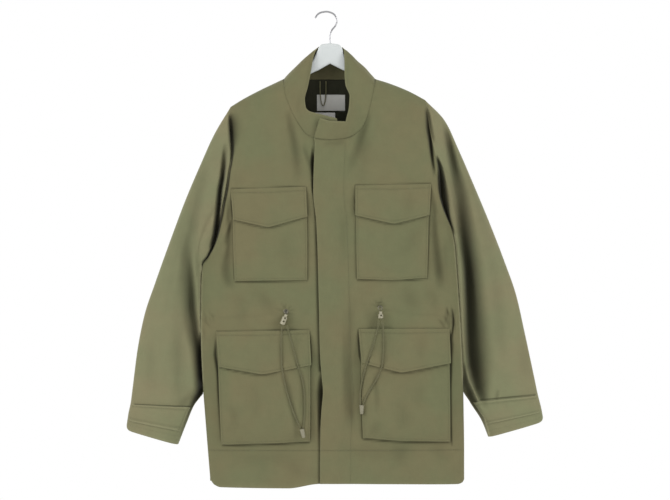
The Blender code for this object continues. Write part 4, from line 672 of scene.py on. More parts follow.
def shell(name, outer, inner, closed, facing, mats, cavity=None, wear=None, bulge=0.34):
    """A thin closed shell between two grids of points, with rounded rims. mats: outside, inside.
    facing gives the outward direction at each point of an array."""
    m, n, _ = outer.shape
    base = m * n
    grid = np.arange(base).reshape(m, n)
    g = np.concatenate([grid, grid[:, :1]], axis=1) if closed else grid
    quads = np.stack([g[:-1, :-1], g[:-1, 1:], g[1:, 1:], g[1:, :-1]], axis=-1).reshape(-1, 4)
    p, q = outer.reshape(-1, 3), inner.reshape(-1, 3)
    nrm = np.cross(p[quads[:, 2]] - p[quads[:, 0]], p[quads[:, 3]] - p[quads[:, 1]])
    flip = (nrm * facing(p[quads].mean(1))).sum() < 0
    # running lengths, for the cloth's grain
    w = np.concatenate([outer, outer[:, :1]], axis=1) if closed else outer
    uu = np.concatenate([[0], np.cumsum(np.linalg.norm(np.diff(w, axis=1), axis=2).mean(0))]) * M
    vv = np.concatenate([[0], np.cumsum(np.linalg.norm(np.diff(w, axis=0), axis=2).mean(1))]) * M
    cols = g.shape[1]
    vi, ui = np.repeat(np.arange(m - 1), cols - 1), np.tile(np.arange(cols - 1), m - 1)
    corner = np.stack([np.stack([uu[ui], vv[vi]], -1), np.stack([uu[ui + 1], vv[vi]], -1),
                       np.stack([uu[ui + 1], vv[vi + 1]], -1), np.stack([uu[ui], vv[vi + 1]], -1)], axis=1)
    faces, mat_idx, uvs = [quads, quads[:, ::-1] + base], [np.zeros(len(quads)), np.ones(len(quads))], [
        corner, corner[:, ::-1]]
    verts, count, rim = [p, q], 2 * base, []
    flat_painted_shade = np.zeros(base) if cavity is None else cavity.ravel()
    borders = [(g[0], g[1], True, 0.0), (g[-1], g[-2], False, 0.0)]
    if not closed:
        borders += [(g[:, 0], g[:, 1], False, 0.0), (g[:, -1], g[:, -2], True, 0.0)]
    for edge, nxt, swap, _ in borders:
        away = p[edge] - p[nxt]
        away /= np.maximum(np.linalg.norm(away, axis=1, keepdims=True), 1e-6)
        thick = np.linalg.norm(p[edge] - q[edge], axis=1, keepdims=True)
        mid = (p[edge] + q[edge]) / 2 + away * thick * bulge
        k = len(mid) - 1 if closed else len(mid)
        mid = mid[:k]
        ids = count + np.arange(k)
        if closed:
            ids = np.append(ids, ids[0])
        verts.append(mid)
        rim.append(flat_painted_shade[edge][:k])
        count += k
        run = np.concatenate([[0], np.cumsum(np.linalg.norm(np.diff(p[edge], axis=0), axis=1))]) * M
        for lo, hi, v0, v1 in ((edge, ids, 0.0, 0.0012), (ids, edge + base, 0.0012, 0.0024)):
            f = np.stack([lo[:-1], lo[1:], hi[1:], hi[:-1]], axis=-1)
            t = np.stack([np.stack([run[:-1], run[:-1] * 0 + v0], -1), np.stack([run[1:], run[1:] * 0 + v0], -1),
                          np.stack([run[1:], run[1:] * 0 + v1], -1), np.stack([run[:-1], run[:-1] * 0 + v1], -1)], axis=1)
            if swap:
                f, t = f[:, ::-1], t[:, ::-1]
            faces.append(f)
            uvs.append(t)
            mat_idx.append(np.zeros(len(f)))
    faces, uvs = np.concatenate(faces), np.concatenate(uvs)
    if flip:
        faces, uvs = faces[:, ::-1], uvs[:, ::-1]
    extra = count - 2 * base
    painted_shade_grid = np.zeros((m, n)) if cavity is None else cavity
    wear_and_light_grid = np.zeros((m, n)) if wear is None else wear
    # painted shade: the outside carries the shade it is given, the inside faces a painted shade of 0.25 all over, and
    # the rims the shade of their edge; the second attribute makes the outside paler for wear and for painted light
    attrs = [("cavity", np.concatenate([painted_shade_grid.ravel(), np.full(base, 0.25), *rim])),
             ("wear", np.concatenate([wear_and_light_grid.ravel(), np.zeros(base), np.full(extra, 0.0 if wear is None else 0.2)]))]
    return mesh_object(name, np.concatenate(verts), faces, mats, np.concatenate(mat_idx), uvs, attrs)


def tube(name, pts, radius, sides, mats, caps=True, swell=None):
    """A round tube along points in mm; swell gives a factor of the radius for each ring and side."""
    p = np.asarray(pts, float)
    t = np.gradient(p, axis=0)
    t /= np.linalg.norm(t, axis=1, keepdims=True)
    ref = np.array([0, 1.0, 0]) if abs(t[0][1]) < 0.9 else np.array([1.0, 0, 0])
    n0 = np.cross(t[0], ref)
    n0 /= np.linalg.norm(n0)
    rings = []
    for k in range(len(p)):
        n0 = n0 - t[k] * (n0 @ t[k])
        n0 /= np.linalg.norm(n0)
        b0 = np.cross(t[k], n0)
        a = 2 * math.pi * np.arange(sides) / sides
        r = radius if np.isscalar(radius) else radius[k]
        rr = r * (np.ones(sides) if swell is None else swell[k])
        rings.append(p[k] + rr[:, None] * (np.cos(a)[:, None] * n0 + np.sin(a)[:, None] * b0))
    verts = np.concatenate(rings)
    g = np.arange(len(verts)).reshape(len(p), sides)
    g = np.concatenate([g, g[:, :1]], axis=1)
    quads = np.stack([g[:-1, :-1], g[:-1, 1:], g[1:, 1:], g[1:, :-1]], axis=-1).reshape(-1, 4).tolist()
    length = np.concatenate([[0], np.cumsum(np.linalg.norm(np.diff(p, axis=0), axis=1))]) * M
    uv = []
    for i in range(len(p) - 1):
        for j in range(sides):
            u0, u1 = j / sides * 0.0094, (j + 1) / sides * 0.0094
            uv += [(u0, length[i]), (u1, length[i]), (u1, length[i + 1]), (u0, length[i + 1])]
    if caps:
        verts = np.concatenate([verts, p[:1], p[-1:]])
        s, e = len(verts) - 2, len(verts) - 1
        for j in range(sides):
            quads.append([s, g[0, j + 1], g[0, j]])
            quads.append([e, g[-1, j], g[-1, j + 1]])
            uv += [(0, 0)] * 6
    return mesh_object(name, verts, quads, mats, uv=np.array(uv))


def turned(name, profile, sides, mats, place, turn, face_mats=None):
    """A closed turned solid from (radius, height) rows, given in place and turned by radians."""
    from mathutils import Euler
    rot = np.array(Euler(turn).to_matrix())
    verts, faces, idx = [], [], []
    ring = profile[0][0] > 0
    rows = []
    for r, h in profile:
        if r <= 1e-6:
            rows.append([len(verts)] * sides)
            verts.append((0, 0, h))
        else:
            rows.append(list(range(len(verts), len(verts) + sides)))
            verts += [(r * math.cos(2 * math.pi * k / sides), r * math.sin(2 * math.pi * k / sides), h)
                      for k in range(sides)]
    last = len(rows) if ring else len(rows) - 1
    for i in range(last):
        lo, hi = rows[i], rows[(i + 1) % len(rows)]
        for k in range(sides):
            f = [lo[k], lo[(k + 1) % sides], hi[(k + 1) % sides], hi[k]]
            f = [v for j, v in enumerate(f) if v not in f[:j]]
            if len(f) > 2:
                faces.append(f)
                idx.append(0 if face_mats is None else face_mats[i])
    verts = np.array(verts) @ rot.T + np.array(place)
    obj = mesh_object(name, verts, faces, mats, idx)
    bm = bmesh.new()
    bm.from_mesh(obj.data)
    bmesh.ops.recalc_face_normals(bm, faces=bm.faces)
    bm.to_mesh(obj.data)
    bm.free()
    obj.data.set_sharp_from_angle(angle=math.radians(38))
    return obj


# ------------------------------------------------------------------ materials
def new_material(name):
    mat = bpy.data.materials.new(name)
    mat.use_nodes = True
    tree = mat.node_tree
    return mat, tree, tree.nodes["Principled BSDF"]


def node(tree, kind, **settings):
    n = tree.nodes.new(kind)
    for k, v in settings.items():
        if k.startswith("in_"):
            n.inputs[k[3:].replace("_", " ")].default_value = v
        else:
            setattr(n, k, v)
    return n


def math_node(tree, op, a, b=None, c=None):
    n = tree.nodes.new("ShaderNodeMath")
    n.operation = op
    for k, v in enumerate((a, b, c)):
        if v is None:
            continue
        if hasattr(v, "is_output"):
            tree.links.new(v, n.inputs[k])
        else:
            n.inputs[k].default_value = v
    return n.outputs[0]


def mix_colour(tree, fac, a, b, mode="MIX"):
    n = tree.nodes.new("ShaderNodeMix")
    n.data_type, n.blend_type = "RGBA", mode
    for sock, v in ((n.inputs[0], fac), (n.inputs[6], a), (n.inputs[7], b)):
        if hasattr(v, "is_output"):
            tree.links.new(v, sock)
        else:
            sock.default_value = v if not isinstance(v, tuple) else (*v, 1)
    return n.outputs[2]


def noise(tree, vector, scale, detail=2.0, rough=0.5):
    n = node(tree, "ShaderNodeTexNoise", in_Scale=scale, in_Detail=detail, in_Roughness=rough)
    tree.links.new(vector, n.inputs["Vector"])
    return n.outputs["Fac"]


def cloth(name, base, green, brown, dark, pitch=0.00062, sheen=0.05, rough=0.86, bump=0.5):
    """Plain-woven cloth: threads, slubs, slow colour change, worn edges, painted light beside seams and fold edges, and
    painted shade in folds and gaps.
    """
    mat, tree, bsdf = new_material(name)
    link = tree.links.new
    pos = node(tree, "ShaderNodeTexCoord").outputs["Object"]
    uvm = node(tree, "ShaderNodeUVMap", uv_map="metres").outputs["UV"]
    sep = node(tree, "ShaderNodeSeparateXYZ")
    link(uvm, sep.inputs[0])
    k = 2 * math.pi / pitch
    # the threads wander a little
    drift = math_node(tree, "MULTIPLY", noise(tree, pos, 180.0, 1.0), pitch * 1.6)
    su = math_node(tree, "SINE", math_node(tree, "MULTIPLY", math_node(tree, "ADD", sep.outputs[0], drift), k))
    sv = math_node(tree, "SINE", math_node(tree, "MULTIPLY", math_node(tree, "ADD", sep.outputs[1], drift), k))
    weave = math_node(tree, "MULTIPLY", su, sv)
    # slubs: noise drawn out along warp and weft
    stretch = node(tree, "ShaderNodeMapping")
    stretch.inputs["Scale"].default_value = (1100, 34, 1)
    link(uvm, stretch.inputs["Vector"])
    slub_a = noise(tree, stretch.outputs[0], 1.0, 2.0)
    stretch2 = node(tree, "ShaderNodeMapping")
    stretch2.inputs["Scale"].default_value = (30, 900, 1)
    link(uvm, stretch2.inputs["Vector"])
    slub_b = noise(tree, stretch2.outputs[0], 1.0, 2.0)
    slub = math_node(tree, "ADD", slub_a, slub_b)
    slow = noise(tree, pos, 8.5, 3.0, 0.55)
    mottle = noise(tree, pos, 46.0, 3.0, 0.6)
    hue = node(tree, "ShaderNodeMapRange", in_From_Min=0.36, in_From_Max=0.64)
    link(slow, hue.inputs["Value"])
    colour = mix_colour(tree, hue.outputs[0], green, brown)
    colour = mix_colour(tree, 0.45, colour, base)
    tone = math_node(tree, "MULTIPLY_ADD", mottle, 0.16, 0.92)
    tone = math_node(tree, "MULTIPLY_ADD", slub, 0.07, math_node(tree, "SUBTRACT", tone, 0.07))
    tone = math_node(tree, "MULTIPLY_ADD", weave, 0.03, tone)
    grey = node(tree, "ShaderNodeCombineColor")
    for s in grey.inputs[:3]:
        link(tone, s)
    colour = mix_colour(tree, 1.0, colour, grey.outputs[0], "MULTIPLY")
    # wear and painted light: the colour is mixed paler for worn edges, and for painted light beside the seams and along
    # a fold edge
    wear = node(tree, "ShaderNodeAttribute", attribute_name="wear")
    rub_and_painted_light = math_node(tree, "MULTIPLY", wear.outputs["Fac"],
                    math_node(tree, "MULTIPLY_ADD", noise(tree, pos, 130.0, 3.0, 0.7), 0.5, 0.0))
    lighter = tuple(min(1, c * 1.5 + 0.02) for c in base)
    colour = mix_colour(tree, rub_and_painted_light, colour, lighter)
    # painted shade: the colour is mixed towards the dark colour by the painted shade of creases, gaps and hollows
    cavity = node(tree, "ShaderNodeAttribute", attribute_name="cavity")
    colour = mix_colour(tree, math_node(tree, "MULTIPLY", cavity.outputs["Fac"], 0.94), colour, dark)
    link(colour, bsdf.inputs["Base Color"])
    r = math_node(tree, "MULTIPLY_ADD", mottle, 0.12, rough - 0.06)
    link(r, bsdf.inputs["Roughness"])
    bsdf.inputs["Sheen Weight"].default_value = sheen
    bsdf.inputs["Sheen Roughness"].default_value = 0.45
    bsdf.inputs["Specular IOR Level"].default_value = 0.08
    height = math_node(tree, "MULTIPLY_ADD", weave, 0.5, math_node(tree, "MULTIPLY", slub, 0.9))
    b1 = node(tree, "ShaderNodeBump", in_Strength=bump, in_Distance=0.00012)
    link(height, b1.inputs["Height"])
    b2 = node(tree, "ShaderNodeBump", in_Strength=0.5, in_Distance=0.0009)
    link(noise(tree, pos, 62.0, 4.0, 0.6), b2.inputs["Height"])
    link(b1.outputs[0], b2.inputs["Normal"])
    link(b2.outputs[0], bsdf.inputs["Normal"])
    return mat


def hard(name, base, second, rough, metal=0.0, grain=220.0, grain_bump=0.1, coat=0.0):
    """Moulded or plated finish with slight unevenness and fine handling marks."""
    mat, tree, bsdf = new_material(name)
    link = tree.links.new
    pos = node(tree, "ShaderNodeTexCoord").outputs["Object"]
    mottle = noise(tree, pos, 70.0, 3.0, 0.6)
    fine = noise(tree, pos, grain * 6, 3.0, 0.6)
    link(mix_colour(tree, mottle, base, second), bsdf.inputs["Base Color"])
    link(math_node(tree, "MULTIPLY_ADD", fine, 0.16, rough - 0.08), bsdf.inputs["Roughness"])
    bsdf.inputs["Metallic"].default_value = metal
    bsdf.inputs["Coat Weight"].default_value = coat
    bsdf.inputs["Coat Roughness"].default_value = 0.2
    b = node(tree, "ShaderNodeBump", in_Strength=grain_bump, in_Distance=0.0003)
    link(noise(tree, pos, grain, 3.0, 0.6), b.inputs["Height"])
    link(b.outputs[0], bsdf.inputs["Normal"])
    return mat


OLIVE = cloth("olive_poplin", (0.1156, 0.1111, 0.057), (0.1055, 0.1156, 0.0594), (0.1257, 0.11, 0.0582), (0.0045, 0.0042, 0.0018))
# painted light: the sleeves take a lighter copy of the same poplin, as more light falls on them
SLEEVE_PAINTED_LIGHTER = cloth("olive_poplin_sleeve", (0.149, 0.1423, 0.0793), (0.1346, 0.1469, 0.0793), (0.1613, 0.1413, 0.0805), (0.0045, 0.0042, 0.0018))
LINING = cloth("dark_lining", (0.020, 0.021, 0.011), (0.018, 0.021, 0.011), (0.023, 0.021, 0.012), (0.005, 0.005, 0.003),
               pitch=0.0005, sheen=0.1, rough=0.6)
THREAD = cloth("olive_thread", (0.108, 0.104, 0.053), (0.100, 0.105, 0.053), (0.114, 0.105, 0.054), (0.012, 0.011, 0.004),
               pitch=0.0004, sheen=0.3, rough=0.7)
# painted shade: the drawcords take a darker copy of the olive cloth, so they show as soft dark lines
CORD_PAINTED_DARKER = cloth("olive_braid", (0.092, 0.088, 0.044), (0.086, 0.090, 0.044), (0.097, 0.088, 0.045), (0.012, 0.011, 0.004),
             pitch=0.0005, sheen=0.25, rough=0.78)
LABEL = cloth("pale_label_cloth", (0.50, 0.50, 0.47), (0.47, 0.49, 0.46), (0.53, 0.51, 0.46), (0.1, 0.1, 0.09),
              pitch=0.0004, sheen=0.3, rough=0.5, bump=0.3)
TAG = cloth("pale_tag_cloth", (0.60, 0.60, 0.57), (0.58, 0.59, 0.57), (0.63, 0.60, 0.56), (0.1, 0.1, 0.09),
            pitch=0.0004, sheen=0.2, rough=0.5, bump=0.3)
BEIGE = hard("beige_plastic", (0.20, 0.185, 0.125), (0.25, 0.232, 0.16), 0.46, grain=400.0)
DULL_BEIGE = hard("dull_beige_plastic", (0.145, 0.134, 0.086), (0.175, 0.163, 0.108), 0.5, grain=400.0)
# painted shade: a near-black finish for the eyelets' openings and the walls of the locks' holes, where there is only
# shade
PAINTED_HOLE_SHADE = hard("dark_plastic", (0.03, 0.028, 0.018), (0.045, 0.042, 0.026), 0.5)
EYELET = hard("eyelet_metal", (0.10, 0.095, 0.07), (0.15, 0.14, 0.10), 0.36, metal=0.9)
WHITE = hard("white_plastic", (0.40, 0.425, 0.42), (0.45, 0.47, 0.465), 0.34, grain=26.0, grain_bump=0.08, coat=0.15)
CHROME = hard("chrome_wire", (0.26, 0.26, 0.265), (0.36, 0.36, 0.37), 0.20, metal=1.0, grain=500.0, grain_bump=0.05)


# ------------------------------------------------------------------ stitches
STITCHES = {}


def stitch_line(group, pts, normal, pitch=4.2, long=3.0, wide=0.55, high=0.30, lift=0.12):
    """A row of stitches along points lying on the cloth."""
    p = np.asarray(pts, float)
    nn = np.broadcast_to(np.asarray(normal, float), p.shape)
    seg = np.linalg.norm(np.diff(p, axis=0), axis=1)
    s = np.concatenate([[0], np.cumsum(seg)])
    count = int(s[-1] / pitch)
    if count < 1:
        return
    where = (np.arange(count) + 0.5) * s[-1] / count
    c = np.stack([np.interp(where, s, p[:, k]) for k in range(3)], -1)
    a = np.stack([np.interp(where + long / 2, s, p[:, k]) for k in range(3)], -1)
    b = np.stack([np.interp(where - long / 2, s, p[:, k]) for k in range(3)], -1)
    t = a - b
    t /= np.maximum(np.linalg.norm(t, axis=1, keepdims=True), 1e-9)
    n = np.stack([np.interp(where, s, nn[:, k]) for k in range(3)], -1)
    n = n - t * (n * t).sum(1, keepdims=True)
    n /= np.linalg.norm(n, axis=1, keepdims=True)
    side = np.cross(t, n)
    ring = [(math.cos(q), math.sin(q)) for q in np.arange(5) * 2 * math.pi / 5]
    local = [(-1, 0, 0)] + [(e, r * cx, r * cy) for e, r in ((-0.62, 0.8), (0, 1.0), (0.62, 0.8)) for cx, cy in ring] + [(1, 0, 0)]
    local = np.array(local)
    verts = (c[:, None] + n[:, None] * lift + local[None, :, :1] * t[:, None] * long / 2
             + local[None, :, 1:2] * side[:, None] * wide / 2 + local[None, :, 2:3] * n[:, None] * high)
    tri = []
    for j in range(5):
        k = (j + 1) % 5
        tri.append((0, 1 + k, 1 + j))
        for r in (0, 1):
            o = 1 + 5 * r
            tri.append((o + j, o + k, o + 5 + k))
            tri.append((o + j, o + 5 + k, o + 5 + j))
        tri.append((11 + j, 11 + k, 16))
    tri = np.array(tri)
    store = STITCHES.setdefault(group, [[], [], 0])
    store[0].append(verts.reshape(-1, 3))
    store[1].append((tri[None] + (np.arange(count) * 17)[:, None, None]).reshape(-1, 3) + store[2])
    store[2] += 17 * count


def toward_y(sign):
    return lambda p: np.tile([0.0, sign, 0.0], (len(p), 1))


def edge_wear(m, n, sides, reach=2.0):
    """Rubbed look near the borders: sides has any of top, bottom, left, right."""
    i, j = np.meshgrid(np.arange(m, dtype=float), np.arange(n, dtype=float), indexing="ij")
    out = np.zeros((m, n))
    for name, dist in (("top", i), ("bottom", m - 1 - i), ("left", j), ("right", n - 1 - j)):
        if name in sides:
            out = np.maximum(out, np.exp(-(dist / reach)**2))
    return out


def seam_painted_light(which, x, d):
    """Painted light: the cloth is painted paler where the body and the sleeve meet, against the shade that falls in the
    groove between them.
    """
    near = np.exp(-(np.abs(x - BODY.at(which, d)) / 2.6)**2)
    return 4.2 * near * smoothstep((d - ARMHOLE[which][1] + 4) / 14.0) * smoothstep((752 - d) / 22.0)


def fold_painted_highlight(which, x, d):
    """Painted highlight: the crisp fold edge at the lower end of the right sleeve is painted paler, where light catches
    it.
    """
    if which == "left":
        return 0 * x
    line = np.interp(d, [716, 728, 736, 748, 760, 772, 788, 812, 841, 856],
                     [279, 283, 285.5, 291, 296.5, 301, 307.5, 316, 324.4, 329])
    return 2.6 * np.exp(-((x - line) / 1.5)**2) * smoothstep((d - 708) / 14.0) * smoothstep((858 - d) / 12.0)


def ease(n, dense_low=1.0, dense_high=1.0):
    """0 to 1 in n steps, closer together at either end."""
    t = np.linspace(0, 1, n)
    a = t ** (1 + 0.55 * dense_low)
    b = 1 - (1 - t) ** (1 + 0.55 * dense_high)
    if dense_low and dense_high:
        return a * (1 - t) + b * t
    return a if dense_low else (b if dense_high else t)


# ------------------------------------------------------------------ fronts and back
YOKE = 285.0


def panel_xd(side, which, columns, yoke_rows, drops):
    """x and drop of a panel's points; column 0 is the armhole and side seam."""
    across, neck = columns, 0.46
    top_d, _ = ARMHOLE[which]
    corner = float(BODY.at(which, top_d))
    tip = -86.0 if which == "left" else 98.0
    shoulder = across <= neck
    k = np.clip((across - neck) / (1 - neck), 0, 1)
    sx = corner + (tip - corner) * np.minimum(across, neck) / neck
    if side == "front":
        part = 0.52 * k if which == "left" else 1 - 0.578 * k
        nx, nd = NECK_FRONT.at("x", part), NECK_FRONT.at("drop", part)
    else:
        nx, nd = tip + (8 - tip) * k, 133.2 + 0 * k
    tx = np.where(shoulder, sx, nx)
    td = np.where(shoulder, RIDGE.at("drop", sx), nd)

    def inner_edge(d):
        if side == "back":
            return 8.0 + 0 * d
        return CENTRE.at("x", d) - 0.2 if which == "left" else PLACKET_EDGE.at("x", d)

    q = np.array(YOKE)
    qx = BODY.at(which, YOKE) + (inner_edge(q) - BODY.at(which, YOKE)) * across
    xs, ds = [], []
    for v in yoke_rows:
        x, d = tx + (qx - tx) * v, td + (YOKE - td) * v
        d0, x0 = d[0], x[0]
        x = x + (1 - across)**6 * (float(BODY.at(which, d0)) - x0)
        if side == "front":
            e = float(inner_edge(np.array(d[-1])))
            x = x + across**10 * (e - x[-1])
        xs.append(x)
        ds.append(d)
    for d in drops:
        a, b = BODY.at(which, d), inner_edge(np.array(d))
        xs.append(a + (b - a) * across)
        ds.append(np.full(len(across), float(d)))
    hem = HEM[side].at("drop", xs[-1])
    for f in (0.35, 0.7, 0.9, 1.0):
        xs.append(xs[len(yoke_rows) + len(drops) - 1])
        ds.append(drops[-1] + (np.maximum(hem, drops[-1] + 1.0) - drops[-1]) * f)
    return np.array(xs), np.array(ds)


DROPS = np.concatenate([np.arange(YOKE, 560, 3.4), np.arange(560, 662, 2.6), np.arange(662, 872, 3.2),
                        [873.4, 874.6, 875.6, 876.4, 877.4, 878.6], np.arange(881, 934, 3.6)])
YOKE_ROWS = np.linspace(0, 1, 46)[:-1] ** 1.12


def with_lines(base, places, gap=0.0042, n=3):
    """Adds closer columns round the given places, and drops the ones too near."""
    extra = [p + k * gap for p in places for k in range(-n, n + 1)]
    keep = [b for b in base if min(abs(b - e) for e in extra) > gap * 0.7 or b in (0.0, 0.46, 1.0)]
    return np.array(sorted(set(np.round(keep + [e for e in extra if 0.004 < e < 0.996 and abs(e - 0.46) > 0.002], 6))))


COLS_L = with_lines(np.concatenate([ease(52, 1.0, 0.0)[:-1] * 0.46, 0.46 + 0.54 * ease(52, 0.0, 1.0)]),
                    [0.128, 0.155, 0.252, 0.83])
COLS_R = with_lines(np.concatenate([ease(56, 1.0, 0.0)[:-1] * 0.46, 0.46 + 0.54 * ease(60, 0.0, 1.0)]),
                    [0.085, 0.200, 0.718, 0.726])
COLS_B = np.concatenate([ease(34, 1.0, 0.0)[:-1] * 0.46, 0.46 + 0.54 * np.linspace(0, 1, 30)])

rows_of = {}
for which, cols in (("left", COLS_L), ("right", COLS_R)):
    x, d = panel_xd("front", which, cols, YOKE_ROWS, DROPS)
    y, dark = front(which, x, d)
    outer = xyz(x, y, d)
    n = grid_normals(outer, False, np.tile([0.0, -1.0, 0.0], (*x.shape, 1)))
    # the wall goes straight back, but follows the cloth where it rounds over the shoulder
    inner = outer.copy()
    back_off = np.where(np.abs(n[..., 1]) > 0.35, 1.0, 0.0)
    inner[..., 1] += 1.7
    inner[..., 1] = np.minimum(inner[..., 1], -0.15)
    inner[..., 2] -= 1.2 * smoothstep((30 - (d - RIDGE.at("drop", x))) / 30) * (x * 0 + 1)
    rows_of["front", which] = outer[0]
    # wear along the hem and the front edge, and painted light along the seam beside the sleeve
    wear = edge_wear(*x.shape, ("bottom", "right") if which == "right" else ("bottom",), 1.6)
    node_names = ("front_left",) if which == "left" else ("front_right", "placket")
    obj = shell(f"coat_front_{which}", outer, inner, False, toward_y(-1), [OLIVE, LINING],
                cavity=dark, wear=np.maximum(wear, seam_painted_light(which, x, d)))
    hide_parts(*node_names)

xl, dl = panel_xd("back", "left", COLS_B, YOKE_ROWS[::2], DROPS[::1])
xr, dr = panel_xd("back", "right", COLS_B, YOKE_ROWS[::2], DROPS[::1])
x = np.concatenate([xl, xr[:, -2::-1]], axis=1)
d = np.concatenate([dl, dr[:, -2::-1]], axis=1)
y, dark = back(x, d)
outer = xyz(x, y, d)
inner = outer.copy()
inner[..., 1] = np.maximum(inner[..., 1] - 1.7, 0.15)
rows_of["back"] = outer[0]
obj = shell("coat_back", outer, inner, False, toward_y(1), [OLIVE, LINING], cavity=dark,
            wear=edge_wear(*x.shape, ("bottom",), 1.6))
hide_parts("back")


# ------------------------------------------------------------------ pockets and flaps
EDGE_LIFT = {  # share of the bulge that each side's edge stands out: left, right, bottom
    "chest_pocket_left": (0.55, 0.35, 0.45), "chest_pocket_right": (0.30, 0.55, 0.45),
    "lower_pocket_left": (0.62, 0.22, 0.28), "lower_pocket_right": (0.22, 0.70, 0.28)}


def pocket_uv(p, x, d):
    """Where x, drop lies on a pocket: share across and share down."""
    v = (d - p["d_top"]) / (p["d_mid"] - p["d_top"])
    vv = np.clip(v, 0, 1)
    xl = p["xl_top"] + (p["xl_low"] - p["xl_top"]) * vv
    xr = p["xr_top"] + (p["xr_low"] - p["xr_top"]) * vv
    return (x - xl) / (xr - xl), v


def pocket_rise(p, u, v):
    """How far a pocket's face stands out, at shares across and down."""
    el, er, eb = EDGE_LIFT[p["name"]]
    u, v = np.clip(u, 0, 1), np.clip(v, 0, 1)
    wide, tall = p["xr_top"] - p["xl_top"], p["d_mid"] - p["d_top"]
    top = 0.20 + 0.80 * smoothstep((v * tall + 6) / 64.0)
    side = (1 - (1 - el) * np.exp(-(u * wide / 15.0)**1.25)) * (1 - (1 - er) * np.exp(-((1 - u) * wide / 15.0)**1.25))
    low = 1 - (1 - eb) * np.exp(-((1 - v) * tall / 20.0)**1.25)
    return p["bulge"] * top * side * low


def pocket_xd(p, u, v):
    low = np.where(u < 0.5, p["d_left"] + (p["d_mid"] - p["d_left"]) * smoothstep(2 * u) ** 0.9,
                   p["d_mid"] + (p["d_right"] - p["d_mid"]) * smoothstep(2 * u - 1))
    xl = p["xl_top"] + (p["xl_low"] - p["xl_top"]) * v
    xr = p["xr_top"] + (p["xr_low"] - p["xr_top"]) * v
    # soft corners and sides that bow a very little
    bow = 1.1 * np.sin(math.pi * v) * (2 * u - 1)
    return xl + (xr - xl) * u + bow, p["d_top"] + (low - p["d_top"]) * v


def meet_cords(side, x, d, y, gap=CORD_R + 0.25):
    """The cloth bulges up softly to where a drawcord lies on it."""
    for k in ("a", "b"):
        t = STRANDS[f"drawcord_{side}_{k}"]
        line = np.stack([t.at("x", DRAW_ROWS[side]), DRAW_ROWS[side], t.at("y", DRAW_ROWS[side])], -1)
        best, level = np.full(x.shape, 1e9), np.zeros(x.shape)
        for px, pd, py in line:
            q = (x - px)**2 + (d - pd)**2
            near = q < best
            best, level = np.where(near, q, best), np.where(near, py, level)
        reach = np.sqrt(best)
        want = level + gap
        near = np.exp(-(np.maximum(reach - 1.0, 0) / 12.0)**2)
        y = y + np.minimum(want - y, 0) * near
        # never in front of the cord itself
        y = np.where(reach < 3.2, np.maximum(y, want - 0.04 * reach), y)
    return y


DRAW_ROWS = {"left": np.arange(627.0, 831, 2.5), "right": np.arange(614.0, 785, 2.5)}


def pocket_face(p, u, v):
    x, d = pocket_xd(p, u, v)
    which = p["front"].split("_")[1]
    base, _ = front(which, x, d, fine=False)
    push, dark = creased(p["name"], x, d)
    rise = pocket_rise(p, u, v)
    puff = uneven(x, d, len(p["name"]) + int(p["bulge"]), 0.35, 60)
    y = base - LAY - TRIM_CLOTH - rise - push * smoothstep(8 * np.minimum(u, 1 - u) + 0.15) - puff * smoothstep(
        6 * np.minimum(np.minimum(u, 1 - u), 1 - v))
    if p["name"].startswith("lower"):
        y = meet_cords(which, x, d, y)
    return x, y, d, dark


def near_ends(n, gaps, size):
    """0 to 1, with extra stations at the given distances (mm) from both ends of a length."""
    a = [g / size for g in gaps]
    lo, hi = a[-1], 1 - a[-1]
    return np.array([0] + a[:-1] + list(np.linspace(lo, hi, n)) + [1 - g for g in a[:-1]][::-1] + [1])


